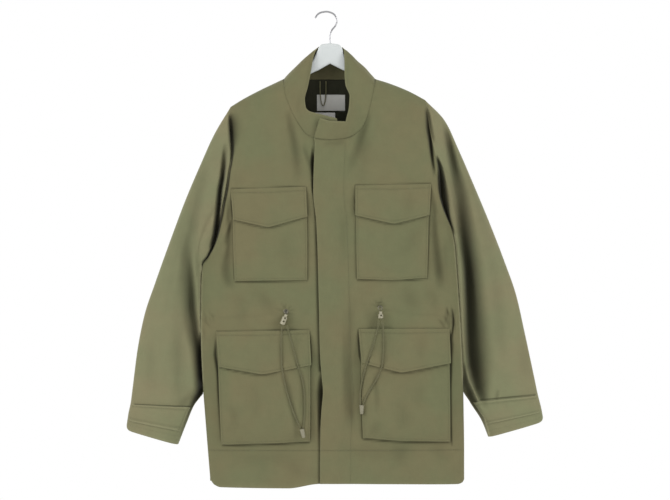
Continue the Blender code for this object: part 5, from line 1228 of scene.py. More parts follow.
pocket_of = {}
for p in POCKETS:
    pocket_of[p["name"]] = p
    which = p["front"].split("_")[1]
    wide, tall = p["xr_top"] - p["xl_top"], p["d_mid"] - p["d_top"]
    us = near_ends(46, [0.8, 1.8, 3.0, 4.2, 5.4, 7.5], wide)
    vs = near_ends(52, [0.8, 1.8, 3.0, 4.2, 5.4, 7.5], tall)
    vv, uu = np.meshgrid(vs, us, indexing="ij")
    x, y, d, dark = pocket_face(p, uu, vv)
    # a shallow groove along the edge stitching, with painted shade in it
    groove = np.zeros(x.shape)
    for dist in (uu * wide, (1 - uu) * wide, (1 - vv) * tall):
        groove = np.maximum(groove, np.exp(-((dist - 3.6) / 1.0)**2))
    y = y + 0.16 * groove
    dark = np.maximum(dark, 0.10 * groove)
    foot = 2.4 + 0.12 * p["bulge"]
    base_y, _ = front(which, x, d, fine=False)

    def with_feet(a, kind):
        """Adds the folded-under side walls as first and last column, and as last row."""
        left, right, low = a[:, :1].copy(), a[:, -1:].copy(), None
        if kind == "x":
            left, right = left + foot, right - foot
        elif kind == "y":
            left, right = base_y[:, :1] - LAY - 0.9, base_y[:, -1:] - LAY - 0.9
        a = np.concatenate([left, a, right], axis=1)
        low = a[-1:].copy()
        if kind == "d":
            low = low - foot
        elif kind == "y":
            by = np.concatenate([base_y[-1:, :1], base_y[-1:], base_y[-1:, -1:]], axis=1)
            low = by - LAY - 0.9
        return np.concatenate([a, low], axis=0)

    x2, y2, d2 = with_feet(x, "x"), with_feet(y, "y"), with_feet(d, "d")
    # painted shade on the folded-under side walls and bottom, as a dark line round the pocket
    dk = np.pad(dark, ((0, 1), (1, 1)), mode="edge")
    dk[:, 0] = dk[:, -1] = dk[-1] = 0.85
    outer = xyz(x2, y2, d2)
    inner = outer.copy()
    inner[..., 1] += TRIM_CLOTH * 0.8
    inner[:, :2, 0] += 0.9
    inner[:, -2:, 0] -= 0.9
    inner[-2:, :, 2] += 0.9
    wear = 0.15 * edge_wear(*x2.shape, ("left", "right", "bottom"), 1.8)
    wear[:, 0] = wear[:, -1] = wear[-1] = 0
    obj = shell(p["name"] + "_cloth", outer, inner, False, toward_y(-1), [OLIVE, LINING], cavity=dk, wear=wear)
    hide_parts(p["name"])
    # edge stitching on both sides and along the bottom
    down = np.linspace(0.07, 1 - 3.6 / tall, 60)
    for u in (3.6 / wide, 1 - 3.6 / wide):
        px, py, pd, _ = pocket_face(p, np.full(60, u), down)
        stitch_line("pocket_stitches", np.stack([px, py + 0.16, -pd], -1), (0, -1, 0))
    u = np.linspace(3.6 / wide, 1 - 3.6 / wide, 60)
    px, py, pd, _ = pocket_face(p, u, np.full(60, 1 - 3.6 / tall))
    stitch_line("pocket_stitches", np.stack([px, py + 0.16, -pd], -1), (0, -1, 0))

FLAP_LIFT = {  # how far the lower corners and the point stand off: left, middle, right; curl of the sides
    "chest_flap_left": (2.6, 1.2, 1.0, 1.2), "chest_flap_right": (1.8, 1.4, 2.4, 1.2),
    "lower_flap_left": (1.8, 1.4, 4.6, 1.6), "lower_flap_right": (4.6, 1.4, 5.4, 1.8)}


def flap_face(f, u, v):
    bow = 1 - np.abs(2 * u - 1)
    low_x = np.where(u < 0.5, f["bxl"] + (f["bxm"] - f["bxl"]) * 2 * u, f["bxm"] + (f["bxr"] - f["bxm"]) * (2 * u - 1))
    tip = np.where(u < 0.5, 2 * u, 2 - 2 * u)
    tip = np.where(tip > 0.93, 0.93 + 0.035 * np.sin((tip - 0.93) / 0.07 * math.pi / 2), tip) / 0.965
    low_d = np.where(u < 0.5, f["bdl"] + (f["bdm"] - f["bdl"]) * tip, f["bdr"] + (f["bdm"] - f["bdr"]) * tip)
    x0, d0 = f["xl"] + (f["xr"] - f["xl"]) * u, f["dl"] + (f["dr"] - f["dl"]) * u
    x, d = x0 + (low_x - x0) * v, d0 + (low_d - d0) * v
    p = pocket_of[f["pocket"]]
    which = p["front"].split("_")[1]
    base, _ = front(which, x, d, fine=False)
    pu, pv = pocket_uv(p, x, d)
    over = (LAY + TRIM_CLOTH) * smoothstep((d - p["d_top"] + 12) / 10.0) + pocket_rise(p, pu, pv) * smoothstep(
        (d - p["d_top"] + 12) / 22.0)
    ll, lm, lr, curl = FLAP_LIFT[f["name"]]
    own = ll * (1 - u)**2 * v**1.5 + lr * u**2 * v**1.5 + lm * (1 - (2 * u - 1)**2) * v**2
    own = own + curl * (np.abs(2 * u - 1)**6) * v + 0.5 * np.sin(math.pi * v) * np.sin(math.pi * u)
    push, dark = creased(f["name"], x, d)
    y = base - over - LAY - TRIM_CLOTH - own - push
    if f["name"].startswith("lower"):
        y = meet_cords(which, x, d, y)
    return x, y, d, dark


for f in FLAPS:
    wide, tall = f["xr"] - f["xl"], f["bdl"] - f["dl"]
    us = near_ends(58, [0.8, 1.8, 3.0, 4.2, 5.4, 7.5], wide)
    vs = near_ends(26, [0.8, 1.8, 3.0, 4.2, 5.6, 6.6, 7.4, 8.6], tall)
    vv, uu = np.meshgrid(vs, us, indexing="ij")
    x, y, d, dark = flap_face(f, uu, vv)
    # painted shade in the stitching grooves
    groove = np.exp(-((vv * tall - 6.9) / 1.1)**2)
    for dist in (uu * wide, (1 - uu) * wide, (1 - vv) * tall):
        groove = np.maximum(groove, 0.8 * np.exp(-((dist - 3.6) / 1.0)**2))
    y = y + 0.16 * groove
    dark = np.maximum(dark, 0.15 * groove)
    outer = xyz(x, y, d)
    inner = outer + np.array([0, TRIM_CLOTH * 0.85, 0])
    wear = 0.15 * edge_wear(*x.shape, ("left", "right", "bottom", "top"), 1.8)
    obj = shell(f["name"] + "_cloth", outer, inner, False, toward_y(-1), [OLIVE, OLIVE], cavity=dark, wear=wear)
    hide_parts(f["name"])
    a = np.linspace(2.0 / wide, 1 - 2.0 / wide, 60)
    px, py, pd, _ = flap_face(f, a, np.full(60, 6.9 / tall))
    stitch_line("flap_stitches", np.stack([px, py + 0.16, -pd], -1), (0, -1, 0))
    px, py, pd, _ = flap_face(f, a, np.full(60, 1 - 3.6 / tall))
    stitch_line("flap_stitches", np.stack([px, py + 0.16, -pd], -1), (0, -1, 0))
    b = np.linspace(0.02, 1 - 3.6 / tall, 40)
    for u in (3.6 / wide, 1 - 3.6 / wide):
        px, py, pd, _ = flap_face(f, np.full(40, u), b)
        stitch_line("flap_stitches", np.stack([px, py + 0.16, -pd], -1), (0, -1, 0))

# placket, hem and front edge stitching
line = np.linspace(262, 940, 260)
px = PLACKET_EDGE.at("x", line) + PLACKET_WIDTH - 1.8
py, _ = front("right", px, line)
stitch_line("front_stitches", np.stack([px, py, -line], -1), (0, -1, 0))
for side in ("front_left", "front_right", "back"):
    lo, hi = (-236, 12) if side == "front_left" else ((-12, 273) if side == "front_right" else (-236, 273))
    px = np.linspace(lo, hi, 240)
    pd = np.full(240, 876.0)
    if side == "back":
        py, _ = back(px, pd)
    else:
        py, _ = front(side.split("_")[1], px, pd)
    stitch_line("hem_stitches", np.stack([px, py, -pd], -1), (0, 1.0 if side == "back" else -1.0, 0), wide=0.45, high=0.2)


# ------------------------------------------------------------------ sleeves and cuff tabs
CUFF_BOW = {"left": 13.0, "right": 10.0}


def sleeve_points(which, at, ang, fine=True):
    """Outer surface of a sleeve at a station and an angle in degrees round it, and its painted shade."""
    t = SLEEVES[which]
    sign = -1 if which == "left" else 1
    g = {c: t.at(c, at) for c in ("ox", "od", "ix", "id", "front", "back", "y", "tuck")}
    c, s = np.cos(np.radians(ang)), np.sin(np.radians(ang))
    mx, md = (g["ox"] + g["ix"]) / 2, (g["od"] + g["id"]) / 2
    hx, hd = (g["ox"] - g["ix"]) / 2, (g["od"] - g["id"]) / 2
    half = np.sqrt(hx * hx + hd * hd)
    full = np.sign(s) * np.abs(s) ** 0.88
    push = np.zeros(np.broadcast(at, ang).shape)
    for f in SLEEVE_FOLDS:
        if f["side"] != which:
            continue
        k = np.clip((at - f["at0"]) / (f["at1"] - f["at0"]), 0, 1)
        line = f["ang0"] + (f["ang1"] - f["ang0"]) * k
        dist = half * (np.cos(np.radians(ang)) - np.cos(np.radians(line)))
        same = np.where((s > 0) == (np.sin(np.radians(line)) > 0), 1.0, 0.0)
        push = push + same * f["deep"] * np.sin(np.pi * k) ** 0.6 * np.exp(-(dist / f["wide"])**2)
    deep = np.where(full >= 0, g["front"], g["back"])
    y = g["y"] + g["tuck"] * (1 - c) / 2 - full * (deep + push * np.abs(s))
    x, d = mx + hx * c, md + hd * c
    # the lower edge of the cuff hangs in a bow, fullest near the outer side
    round_off = 1 - np.abs(c) ** 14
    bow = CUFF_BOW[which] * (0.55 + 0.45 * np.clip(c, -1, 1)) * round_off * smoothstep((at - 9.6) / 1.4)
    x, d = x + sign * 0.42 * bow, d + 0.9 * bow
    # the armhole's own edge, which the first sections grow out of
    w = smoothstep(1 - at / 2.2)
    top, under = ARMHOLE[which]
    d0 = top + (under - top) * (1 - c) / 2
    x0 = BODY.at(which, d0)
    yf, _ = front(which, x0, d0)
    yb, _ = back(x0, d0)
    y0 = np.where(s >= 0, yf, yb)
    y0 = np.where(np.abs(s) < 0.01, 0.0, y0)
    t0 = {c2: t.at(c2, 0.0) for c2 in ("ox", "od", "ix", "id", "front", "back")}
    bx = (t0["ox"] + t0["ix"]) / 2 + (t0["ox"] - t0["ix"]) / 2 * c
    by = -full * np.where(full >= 0, t0["front"], t0["back"])
    x = x + w * (x0 + sign * 0.15 - bx)
    off = np.abs(x - BODY.at(which, np.clip(d, top, under)))
    # at the top the sleeve head rises steeply from the seam, lower down it grows out slowly
    steep = np.where(s > 0, smoothstep((300 - d) / 60.0), 0.5 * smoothstep((330 - d) / 60.0))
    wy = w * (1 - steep * (1 - np.exp(-(off / 5.0)**2)))
    y = y + wy * (y0 - by)
    if not fine:
        return xyz(x, y, d), 0 * x
    # under the arm the inner rim closes against the body's edge
    clear = sign * (x - BODY.at(which, d))
    close = smoothstep((-c - 0.45) / 0.45) * smoothstep((at - 0.05) / 0.4) * smoothstep((3.4 - at) / 0.9)
    x = x - sign * close * np.maximum(clear + 0.2, 0)
    # outside the body's edge the front cloth comes forward to meet it
    clear = sign * (x - BODY.at(which, d))
    meet = 0.5 - 6 * (1 - np.exp(-np.maximum(clear, 0) / 2.0)) - 9 * (1 - np.exp(-np.maximum(clear, 0) / 14.0))
    pull = smoothstep((clear + 0.2) / 0.9) * smoothstep((at - 0.9) / 0.8) * smoothstep((8.6 - at) / 0.8) * (s > 0) * smoothstep(
        (d - under + 4) / 8.0) * smoothstep((70 - clear) / 42.0)
    y = y + pull * np.minimum(meet - y, 0)
    # creases, which leave the seam and the outline where they are, with their painted shade
    dark = np.zeros(x.shape)
    free = smoothstep(np.abs(s) / 0.34) * np.where(at < 3, 1 - np.exp(-(off / 1.4)**2), 1.0)
    mid_y = g["y"] + g["tuck"] * (1 - c) / 2
    for side, sgn in (("front", -1), ("back", 1)):
        p, k = creased(f"sleeve_{which}_{side}", x, d)
        m = (s > 0) if side == "front" else (s <= 0)
        moved = y + sgn * p * free
        moved = np.minimum(moved, np.maximum(y, mid_y - 2.0)) if side == "front" else np.maximum(
            moved, np.minimum(y, mid_y + 2.0))
        y = np.where(m, moved, y)
        dark = np.where(m, k * np.where(at < 3, 1.0, free), dark)
    y = y - full * uneven(x, d, 31 if which == "left" else 32, 0.7, 90) * np.minimum(1, at / 1.5)
    return xyz(x, y, d), dark


def spaced_angles(nf, nb):
    """Angles round a sleeve, with even steps along its width and closer ones at the rims."""
    def half(n):
        t = np.linspace(0, 1, n)
        even = np.degrees(np.arccos(1 - 2 * t))
        return 0.62 * even + 0.38 * 180 * t
    return np.concatenate([half(nf), 180 + half(nb)[1:-1]])


AROUND = spaced_angles(78, 34)
STATIONS = np.concatenate([[0, 0.012, 0.03, 0.055, 0.085, 0.12, 0.16, 0.2], np.linspace(0.25, 2.0, 46),
                           np.linspace(2.03, 9.0, 118), np.linspace(9.03, 10.9, 30), [10.94, 10.97, 11.0]])
for which in ("left", "right"):
    at, ang = np.meshgrid(STATIONS, AROUND, indexing="ij")
    outer, dark = sleeve_points(which, at, ang)
    # on every section below the arm one point of the front lies right at the body's edge
    sign = -1 if which == "left" else 1
    for row in np.nonzero((STATIONS > 2.3) & (STATIONS < 8.7))[0]:
        drop = -outer[row, :, 2]
        clear = sign * (outer[row, :, 0] - BODY.at(which, drop))
        clear[(AROUND < 60) | (AROUND > 176)] = 99
        k = int(np.argmin(np.abs(clear)))
        w = float(smoothstep((drop[k] - ARMHOLE[which][1] - 6) / 20) * smoothstep((745 - drop[k]) / 20))
        if abs(clear[k]) < 2.5 and w > 0:
            outer[row, k, 0] -= sign * w * (clear[k] - 0.05)
            outer[row, k, 1] = min(outer[row, k, 1], outer[row, k, 1] * (1 - w) + w * -0.5)
    middle = outer.mean(axis=1, keepdims=True)
    n = grid_normals(outer, True, outer - middle)
    inner = outer - 1.7 * n
    inner[0, :, 0] = outer[0, :, 0]
    centre = {"m": np.repeat(middle, outer.shape[1], axis=1)}

    def away(p, mid=middle[:, 0]):
        k = np.argmin(np.abs(mid[None, ::8, 2] - p[:, None, 2]), axis=1) * 8
        return p - mid[np.minimum(k, len(mid) - 1)]

    # wear at the cuff, painted light beside the body's edge, and a painted highlight along the right sleeve's fold edge
    wear = np.maximum(edge_wear(*at.shape, ("bottom",), 2.0),
                      seam_painted_light(which, outer[..., 0], -outer[..., 2]) * (outer[..., 1] < 3) * (at < 8.8))
    wear = np.maximum(wear, fold_painted_highlight(which, outer[..., 0], -outer[..., 2]) * (ang < 180))
    obj = shell(f"coat_sleeve_{which}", outer, inner, True, away, [SLEEVE_PAINTED_LIGHTER, LINING], cavity=dark, wear=wear)
    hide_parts(f"sleeve_{which}")
    ring, _ = sleeve_points(which, np.full(200, 10.62), np.linspace(0, 358, 200))
    mid = ring.mean(0)
    out = ring - mid
    stitch_line("sleeve_stitches", ring, out / np.linalg.norm(out, axis=1, keepdims=True), wide=0.45, high=0.2)

for which, low in (("left", 10.38), ("right", 10.22)):
    sign = -1 if which == "left" else 1
    uu, vv = np.meshgrid(near_ends(64, [0.8, 1.8, 3.0, 4.2, 5.6], 96.0), near_ends(14, [0.8, 1.8, 3.0, 4.2], 30.0),
                         indexing="ij")
    # from the outer seam round to the front, the free end cut at a slant
    ang = 26 + (150 - 26) * uu
    at = 9.06 + (low - 9.06) * vv
    base_p, base_k = sleeve_points(which, at, ang)
    fine_n = grid_normals(base_p, False, np.tile([0.0, -1.0, 0.0], (*at.shape, 1)))
    lift = LAY + 1.4 + 1.3 * np.exp(-(vv * 30 / 5)**2) + 1.8 * smoothstep((uu - 0.8) / 0.2) * (1 - vv) + 0.5 * np.sin(
        7 * uu) * (1 - vv)
    push, dark = creased(f"tab_{which}", base_p[..., 0], -base_p[..., 2])
    groove = np.zeros(at.shape)
    for dist in (vv * 30, (1 - vv) * 30, (1 - uu) * 96):
        groove = np.maximum(groove, np.exp(-((dist - 3.6) / 1.0)**2))
    outer = base_p + fine_n * (lift - 0.25 * groove)[..., None]
    inner = base_p + fine_n * (lift - 1.3)[..., None]
    # painted shade: the stitching groove and half the sleeve's own painted shade darken the tab
    obj = shell(f"cuff_tab_{which}_cloth", outer, inner, False, toward_y(-1), [SLEEVE_PAINTED_LIGHTER, SLEEVE_PAINTED_LIGHTER],
                cavity=np.maximum(dark + 0.15 * groove, 0.5 * base_k), wear=edge_wear(*at.shape, ("left", "right", "bottom"), 1.8))
    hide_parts(f"cuff_tab_{which}")
    i0 = 3
    for edge in (outer[:, 3], outer[:, -4], outer[-4, :]):
        stitch_line("sleeve_stitches", edge, (0, -1, 0), wide=0.45, high=0.22)

# ------------------------------------------------------------------ collar
around = np.concatenate([np.linspace(0, 2, 16), np.linspace(2.12, 17.1, 190), np.linspace(17.16, 20, 40)])
up = np.concatenate([[0, 0.02, 0.05], np.linspace(0.09, 0.93, 24), [0.96, 0.985, 1.0]])
tx, ty, td = (COLLAR.at(c, around) for c in ("tx", "ty", "td"))
sx, sd = COLLAR.at("sx", around), COLLAR.at("sd", around)
half_l = rows_of["front", "left"]
half_r = rows_of["front", "right"]
nl, nr = int(np.argmin(np.abs(COLS_L - 0.46))), int(np.argmin(np.abs(COLS_R - 0.46)))
nb = int(np.argmin(np.abs(COLS_B - 0.46)))
back_row = rows_of["back"]
ring_front_low = np.concatenate([half_l[nl:], half_r[nr:][::-1][np.argmax(half_r[nr:][::-1][:, 0] > 9):]])
ring_front_up = half_r[nr:][::-1]
ring_back = back_row[nb:len(back_row) - nb]


def on_ring(ring, x, d):
    """The nearest point to x, drop on a line of points seen from the front."""
    a, b = ring[:-1], ring[1:]
    q = np.array([x, -d])
    ab = (b - a)[:, [0, 2]]
    t = np.clip(((q - a[:, [0, 2]]) * ab).sum(1) / np.maximum((ab * ab).sum(1), 1e-9), 0, 1)
    p = a + (b - a) * t[:, None]
    return p[np.argmin(((p[:, [0, 2]] - q)**2).sum(1))]


foot = np.array([on_ring(ring_back if 8 < k < 12 else (ring_front_up if k >= 17 else ring_front_low), x, d)
                 for k, x, d in zip(around, sx, sd)])
sx, sy, sd = foot[:, 0], foot[:, 1], -foot[:, 2]
inx, ind = 8.0 - sx, np.where((around > 8.2) & (around < 11.8), 90.0, 178.0) - sd
size = np.hypot(inx, ind)
sx, sd = sx + 0.25 * inx / size, sd + 0.25 * ind / size
over = smoothstep((around - 17.0) / 0.9)
under = smoothstep((2.2 - around) / 1.2)
lap_c = 2.2 * over
outer = np.zeros((len(up), len(around), 3))
for i, v in enumerate(up):
    outer[i] = xyz(sx + (tx - sx) * v, sy + (ty - sy) * v - lap_c - 0.6 * (1 - over), sd + (td - sd) * v)
toward = outer - np.array([8.0, -8.0, 0.0])
toward[..., 2] = 0
n = grid_normals(outer, False, toward)
stand = 2.2 * np.sin(math.pi * up)[:, None] ** 0.8 * (1 - 0.5 * over - 0.5 * under)[None]
rollv = -0.9 * smoothstep((up - 0.86) / 0.14)[:, None]
wob = uneven(outer[..., 0] * 1.0 + outer[..., 1] * 0.7, -outer[..., 2], 41, 0.5, 46) * np.sin(math.pi * np.clip(up, 0.02, 1))[:, None]
push, dark = creased("collar", outer[..., 0], -outer[..., 2])
push = push * (n[..., 1] < 0)
outer = outer + n * (stand + rollv + wob + push)[..., None]
n = grid_normals(outer, False, toward)
inner = outer - 2.2 * n
inner[0, :, 2] = np.maximum(inner[0, :, 2], outer[0, :, 2])
# painted shade along the collar's foot, where it meets the body
base_line = 0.12 * np.exp(-(up / 0.04)**2)[:, None] * np.ones(outer.shape[:2])
obj = shell("coat_collar", outer, inner, False, lambda p: (p - np.array([8.0, -8.0, 0.0])) * np.array([1.0, 1.0, 0.0]),
            [OLIVE, OLIVE], cavity=np.maximum(dark, base_line), wear=edge_wear(*outer.shape[:2], ("bottom",), 1.6))
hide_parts("collar")
edge_n = n[-4]
stitch_line("collar_stitches", outer[-5], edge_n, wide=0.45, high=0.2)

# ------------------------------------------------------------------ inside the neck
rows = np.concatenate([np.linspace(134.5, 300, 40)])
x, d = np.meshgrid(np.linspace(-66, 82, 48), rows)
x = 8 + (x - 8) * np.where(d < 140, 0.9, 1.0)
y, _ = back(x, d)
y = y - 2.9 - 0.5 * np.abs(uneven(x, d, 51, 1.0, 40))
y = np.maximum(y, 1.6 + 0 * y)
outer = xyz(x, y, d)
inner = outer + np.array([0, 0.8, 0])
# painted shade: the facing is darker the further down inside the coat it lies
obj = shell("neck_facing", outer, inner, False, toward_y(-1), [LINING, LINING],
            cavity=np.clip((d - 240) / 70, 0, 0.5))
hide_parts("back_facing")


def patch(name, node_name, x0, x1, d0, d1, lift, mat, tilt=0.0):
    """A woven label on the facing, stitched round its edge."""
    u, v = np.meshgrid(near_ends(20, [0.6, 1.4, 2.2], x1 - x0), near_ends(12, [0.6, 1.4, 2.2], d1 - d0))
    x, d = x0 + (x1 - x0) * u, d0 + (d1 - d0) * v + tilt * (u - 0.5)
    y, _ = back(x, d)
    y = y - 4.0 - lift - 0.5 * np.sin(math.pi * u) * np.sin(math.pi * v) - 0.25 * np.sin(5 * u + 2 * v)
    outer = xyz(x, y, d)
    inner = outer + np.array([0, 0.6, 0])
    obj = shell(name, outer, inner, False, toward_y(-1), [mat, mat], wear=edge_wear(*x.shape, ("left", "right"), 1.0))
    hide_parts(node_name)
    r = 1.6
    for a, b, c, e in ((x0 + r, d0 + r, x1 - r, d0 + r), (x0 + r, d1 - r, x1 - r, d1 - r),
                       (x0 + r, d0 + r, x0 + r, d1 - r), (x1 - r, d0 + r, x1 - r, d1 - r)):
        k = np.linspace(0, 1, 30)
        px, pd = a + (c - a) * k, b + (e - b) * k
        py, _ = back(px, pd)
        uu, vv = (px - x0) / (x1 - x0), (pd - d0) / (d1 - d0)
        py = py - 4.0 - lift - 0.5 * np.sin(math.pi * uu) * np.sin(math.pi * vv) - 0.25 * np.sin(5 * uu + 2 * vv)
        stitch_line("label_stitches", np.stack([px, py, -pd], -1), (0, -1, 0), pitch=2.6, long=1.8, wide=0.4, high=0.16)


patch("woven_label", "neck_label", -19, 37, 164, 196, 0.0, LABEL)
patch("small_tag", "size_tag", -25, 17, 200, 214, 0.0, TAG)

loop = []
for k in range(49):
    a = math.pi * k / 48
    loop.append((-7 - 6.0 * math.cos(a), 18.0 + 1.5 * math.sin(a), -(146 + 40 * math.sin(a)**0.8)))
loop = [(-13, 18.9, -136.5), (-13, 18.6, -140), (-13, 18.2, -143)] + loop + [(-1, 18.2, -143), (-1, 18.6, -140), (-1, 18.9, -136.5)]
spiral = [1 + 0.10 * np.sin(3 * 2 * math.pi * np.arange(10) / 10 + k * 1.3) for k in range(len(loop))]
obj = tube("neck_loop", loop, 1.0, 10, [OLIVE], swell=spiral)
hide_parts("hang_loop")

# ------------------------------------------------------------------ drawcords
CORD_PATHS = {}
for name, t in STRANDS.items():
    steps = np.linspace(t.key[0], t.key[-1], 40)
    CORD_PATHS[name] = [(float(t.at("x", s)), float(t.at("y", s)), -float(s)) for s in steps]


def braid(name, pts):
    """A round braided cord: its strands cross in a low relief."""
    p = np.array(pts)
    s = np.concatenate([[0], np.cumsum(np.linalg.norm(np.diff(p, axis=0), axis=1))])
    where = np.linspace(0, s[-1], int(s[-1] / 0.55))
    fine = np.stack([np.interp(where, s, p[:, k]) for k in range(3)], -1)
    for _ in range(6):
        fine[1:-1] = (fine[:-2] + 2 * fine[1:-1] + fine[2:]) / 4
    a = 2 * math.pi * np.arange(12) / 12
    relief = []
    for w in where:
        k = 2 * math.pi * w / 4.4
        relief.append(1 + 0.07 * np.sin(2 * a + k) * np.sin(2 * a - k) - 0.02)
    return tube(name, fine, CORD_R, 12, [CORD_PAINTED_DARKER], swell=relief), fine


# ------------------------------------------------------------------ locks, eyelets, cord ends
for side, x, d in (("left", -81, 599), ("right", 107, 592)):
    y, _ = front(side, x, d)
    y = float(y) - 0.35
    rows = [(2.5, 0.2), (5.1, 0.0), (5.3, 0.25), (5.2, 0.6), (4.7, 1.0), (4.1, 1.15), (3.4, 1.05), (2.8, 0.7), (2.5, 0.2)]
    obj = turned(f"eyelet_ring_{side}", rows[:-1], 40, [EYELET], (x, y, -d), (math.radians(90), 0, 0))
    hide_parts(f"eyelet_{side}")
    # a thin disc of painted shade fills the eyelet's opening
    hole = turned(f"eyelet_hole_{side}", [(0, 0.05), (1.5, 0.08), (2.7, 0.25), (2.7, 0.0), (0, -0.1)], 24, [PAINTED_HOLE_SHADE],
                  (x, y, -d), (math.radians(90), 0, 0))


def cut_hole(obj, centre, axis, radius, mat_index):
    """Cuts a round hole through a solid; the cut faces take the material mat_index."""
    bm = bmesh.new()
    bmesh.ops.create_cone(bm, cap_ends=True, cap_tris=False, segments=24, radius1=radius * M, radius2=radius * M, depth=0.03)
    q = Vector(axis).to_track_quat("Z", "Y")
    for v in bm.verts:
        v.co = q @ v.co + Vector([c * M for c in centre])
    mesh = bpy.data.meshes.new("cutter")
    bm.to_mesh(mesh)
    bm.free()
    for m in obj.data.materials:
        mesh.materials.append(m)
    mesh.polygons.foreach_set("material_index", np.full(len(mesh.polygons), mat_index, np.int32))
    cutter = bpy.data.objects.new("cutter", mesh)
    bpy.context.collection.objects.link(cutter)
    mod = obj.modifiers.new("hole", "BOOLEAN")
    mod.operation, mod.solver, mod.object = "DIFFERENCE", "EXACT", cutter
    dg = bpy.context.evaluated_depsgraph_get()
    made = bpy.data.meshes.new_from_object(obj.evaluated_get(dg), preserve_all_data_layers=True, depsgraph=dg)
    obj.modifiers.clear()
    old = obj.data
    obj.data = made
    bpy.data.meshes.remove(old)
    bpy.data.objects.remove(cutter, do_unlink=True)
    bpy.data.meshes.remove(mesh)
    obj.data.shade_smooth()
    obj.data.set_sharp_from_angle(angle=math.radians(35))


for side, x, y, d, tilt in (("left", -84.5, -44.2, 614.5, 22), ("right", 108, -44.2, 605.5, 0)):
    long = 22.0 if side == "left" else 14.0
    ta = math.radians(tilt)
    start = (x - long / 2 * math.sin(ta), y, -d - long / 2 * math.cos(ta))
    top = long - 5.6
    rows = [(0, 0), (3.4, 0.05), (4.4, 0.35), (5.0, 1.0), (5.2, 1.9)]
    step = np.linspace(1.9, top - 1.2, 9)
    for k, h in enumerate(step[1:-1]):
        rows.append((5.2 - (0.22 if k % 2 else 0.0), float(h)))
    rows += [(5.2, top - 1.2), (5.0, top - 0.5), (4.5, top), (3.3, top + 0.1), (3.1, top + 0.5), (3.1, long - 1.0),
             (2.9, long - 0.4), (2.4, long - 0.05), (0, long)]
    obj = turned(f"toggle_{side}", rows, 48, [BEIGE, PAINTED_HOLE_SHADE], start, (0, ta, 0))
    axis = np.array([math.sin(ta), 0, math.cos(ta)])
    # the walls of the holes take the painted hole shade
    for f in ((0.30, 0.62) if side == "left" else (0.4,)):
        c = np.array(start) + axis * long * f
        cut_hole(obj, c, (0.16, -1, 0.05), 1.9 if side == "left" else 1.8, 1)
    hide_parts(f"cord_lock_{side}")

for side, x, y, d, tilt in (("left", -49.2, -58.8, 832.4, 14), ("right", 70.2, -51.2, 785.0, 0)):
    rows = [(0, 0), (3.4, 0.0), (4.2, -0.35), (4.6, -1.2), (4.55, -2.4), (4.3, -3.0), (4.45, -3.6), (4.2, -7), (3.9, -11),
            (3.6, -15.2), (3.3, -16.8), (2.8, -17.7), (1.8, -18.0), (0, -18)]
    obj = turned(f"cord_tip_{side}", rows, 40, [DULL_BEIGE], (x, y, -d), (0, -math.radians(tilt), 0))
    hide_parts(f"cord_end_{side}")

for side in ("left", "right"):
    for k in ("a", "b"):
        name = f"drawcord_{side}_{k}"
        pts = CORD_PATHS[name]
        if k == "b":
            pts = pts[::-1]
        obj, fine = braid(f"{name}_braid", pts)
        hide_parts(name)

# ------------------------------------------------------------------ hanger
xs = np.concatenate([[-189, -188.4, -187.4, -186], np.linspace(-184, -30, 60), np.linspace(-28, 44, 110)[1:-1],
                     np.linspace(46, 194, 60), [196, 197.6, 198.6, 199]])
verts, faces = [], []
k = 28
for x in xs:
    half = float(HANGER.at("half", x))
    top = float(HANGER.at("top", x))
    low = float(np.interp(x, HANGER.key, HANGER.col["low"]) if -17 < x < 32 else HANGER.at("low", x))
    cy, hz = (top + low) / 2, (low - top) / 2
    flat = 0.20 if -26 < x < 38 else 0.34
    for j in range(k):
        a = 2 * math.pi * j / k
        ca, sa = math.cos(a), math.sin(a)
        r = (abs(ca)**4.5 + abs(sa)**4.5) ** (-1 / 4.5)
        # the section is a rounded square, stretched to the half thickness and half height
        z = r * sa * hz
        corner = min(half * 0.9, hz * 0.9)
        zz = math.copysign(max(0, abs(z)), z)
        verts.append((x, half * ca * r, -(cy - zz)))
for i in range(len(xs) - 1):
    for j in range(k):
        a, b = i * k + j, i * k + (j + 1) % k
        faces.append((a, b, b + k, a + k))
faces.append(tuple(range(k))[::-1])
faces.append(tuple(range((len(xs) - 1) * k, len(xs) * k)))
obj = mesh_object("hanger_shape", verts, faces, [WHITE])
bm = bmesh.new()
bm.from_mesh(obj.data)
bmesh.ops.recalc_face_normals(bm, faces=bm.faces)
bm.to_mesh(obj.data)
bm.free()
obj.data.set_sharp_from_angle(angle=math.radians(40))
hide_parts("hanger_body")

steps = np.linspace(0, 11, 150)
hook = [(float(HOOK.at("x", s)), 0.0, -float(HOOK.at("drop", s))) for s in steps]
taper = [HOOK_R * (1 - 0.55 * max(0, 1 - k / 3.0) ** 2) for k in range(150)]
obj = tube("hook_wire", hook, taper, 20, [CHROME])
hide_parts("hanger_hook")
collar_ring = turned("hook_socket", [(0, 0), (3.4, 0), (3.6, 0.4), (3.4, 1.6), (2.6, 2.2), (0, 2.2)], 32, [WHITE], (7, 0, -62.6),
                     (0, 0, 0))

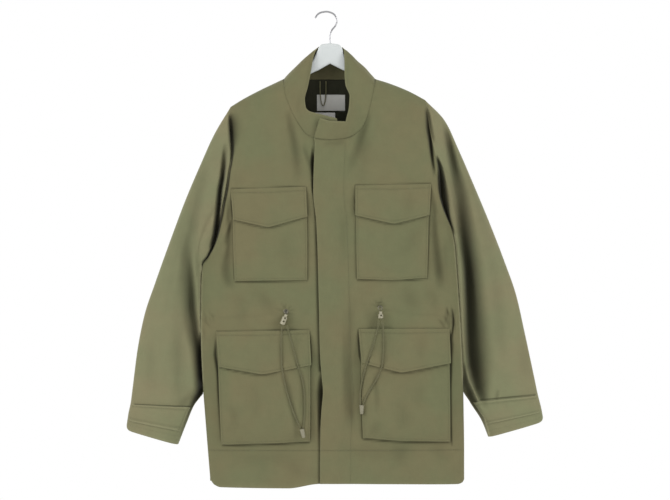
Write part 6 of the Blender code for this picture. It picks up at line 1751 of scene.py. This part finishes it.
# ------------------------------------------------------------------ stitches as meshes
for group, (vs, ts, _) in STITCHES.items():
    v, t = np.concatenate(vs), np.concatenate(ts)
    print("STITCH", group, len(t))
    mesh_object(group, v, t, [THREAD if group != "label_stitches" else LABEL],
                uv=np.zeros((len(t), 3, 2)), attrs=[("cavity", np.zeros(len(v))), ("wear", np.zeros(len(v)))])

# ------------------------------------------------------------------ stage and light
floor = bpy.data.meshes.new("floor")
floor.from_pydata([(-4, -4, -1.75), (4, -4, -1.75), (4, 4, -1.75), (-4, 4, -1.75)], [], [(0, 1, 2, 3)])
floor_obj = bpy.data.objects.new("floor", floor)
bpy.context.collection.objects.link(floor_obj)
fmat, ftree, fb = new_material("pale_floor")
ftree.links.new(mix_colour(ftree, noise(ftree, node(ftree, "ShaderNodeTexCoord").outputs["Object"], 3.0), (0.80, 0.80, 0.80),
                           (0.84, 0.84, 0.84)), fb.inputs["Base Color"])
fb.inputs["Roughness"].default_value = 0.9
floor.materials.append(fmat)

world = bpy.data.worlds.new("studio")
world.use_nodes = True
bg = world.node_tree.nodes["Background"]
bg.inputs["Color"].default_value = (1, 1, 1, 1)
bg.inputs["Strength"].default_value = 1.0
bpy.context.scene.world = world


def area_light(name, place, target, size, power):
    light = bpy.data.lights.new(name, "AREA")
    light.shape, light.size, light.size_y, light.energy = "RECTANGLE", size[0], size[1], power
    obj = bpy.data.objects.new(name, light)
    bpy.context.collection.objects.link(obj)
    obj.location = place
    obj.rotation_euler = (Vector(target) - Vector(place)).to_track_quat("-Z", "Y").to_euler()
    obj.visible_camera = False
    return obj


area_light("side_left", (-2.3, -1.5, 0.1), (0, 0, -0.5), (1.1, 2.2), 43)
area_light("side_right", (2.3, -1.5, 0.1), (0, 0, -0.5), (1.1, 2.2), 38)
area_light("top", (0.1, -1.6, 1.9), (0, 0, -0.4), (1.6, 1.0), 5)
area_light("back_left", (-1.8, 2.0, 0.6), (0, 0, -0.5), (1.2, 1.8), 30)
area_light("back_right", (1.8, 2.0, 0.6), (0, 0, -0.5), (1.2, 1.8), 30)

scene = bpy.context.scene
scene.view_settings.view_transform = "Standard"
scene.view_settings.look = "None"
scene.view_settings.exposure = 0.0
scene.view_settings.gamma = 1.0
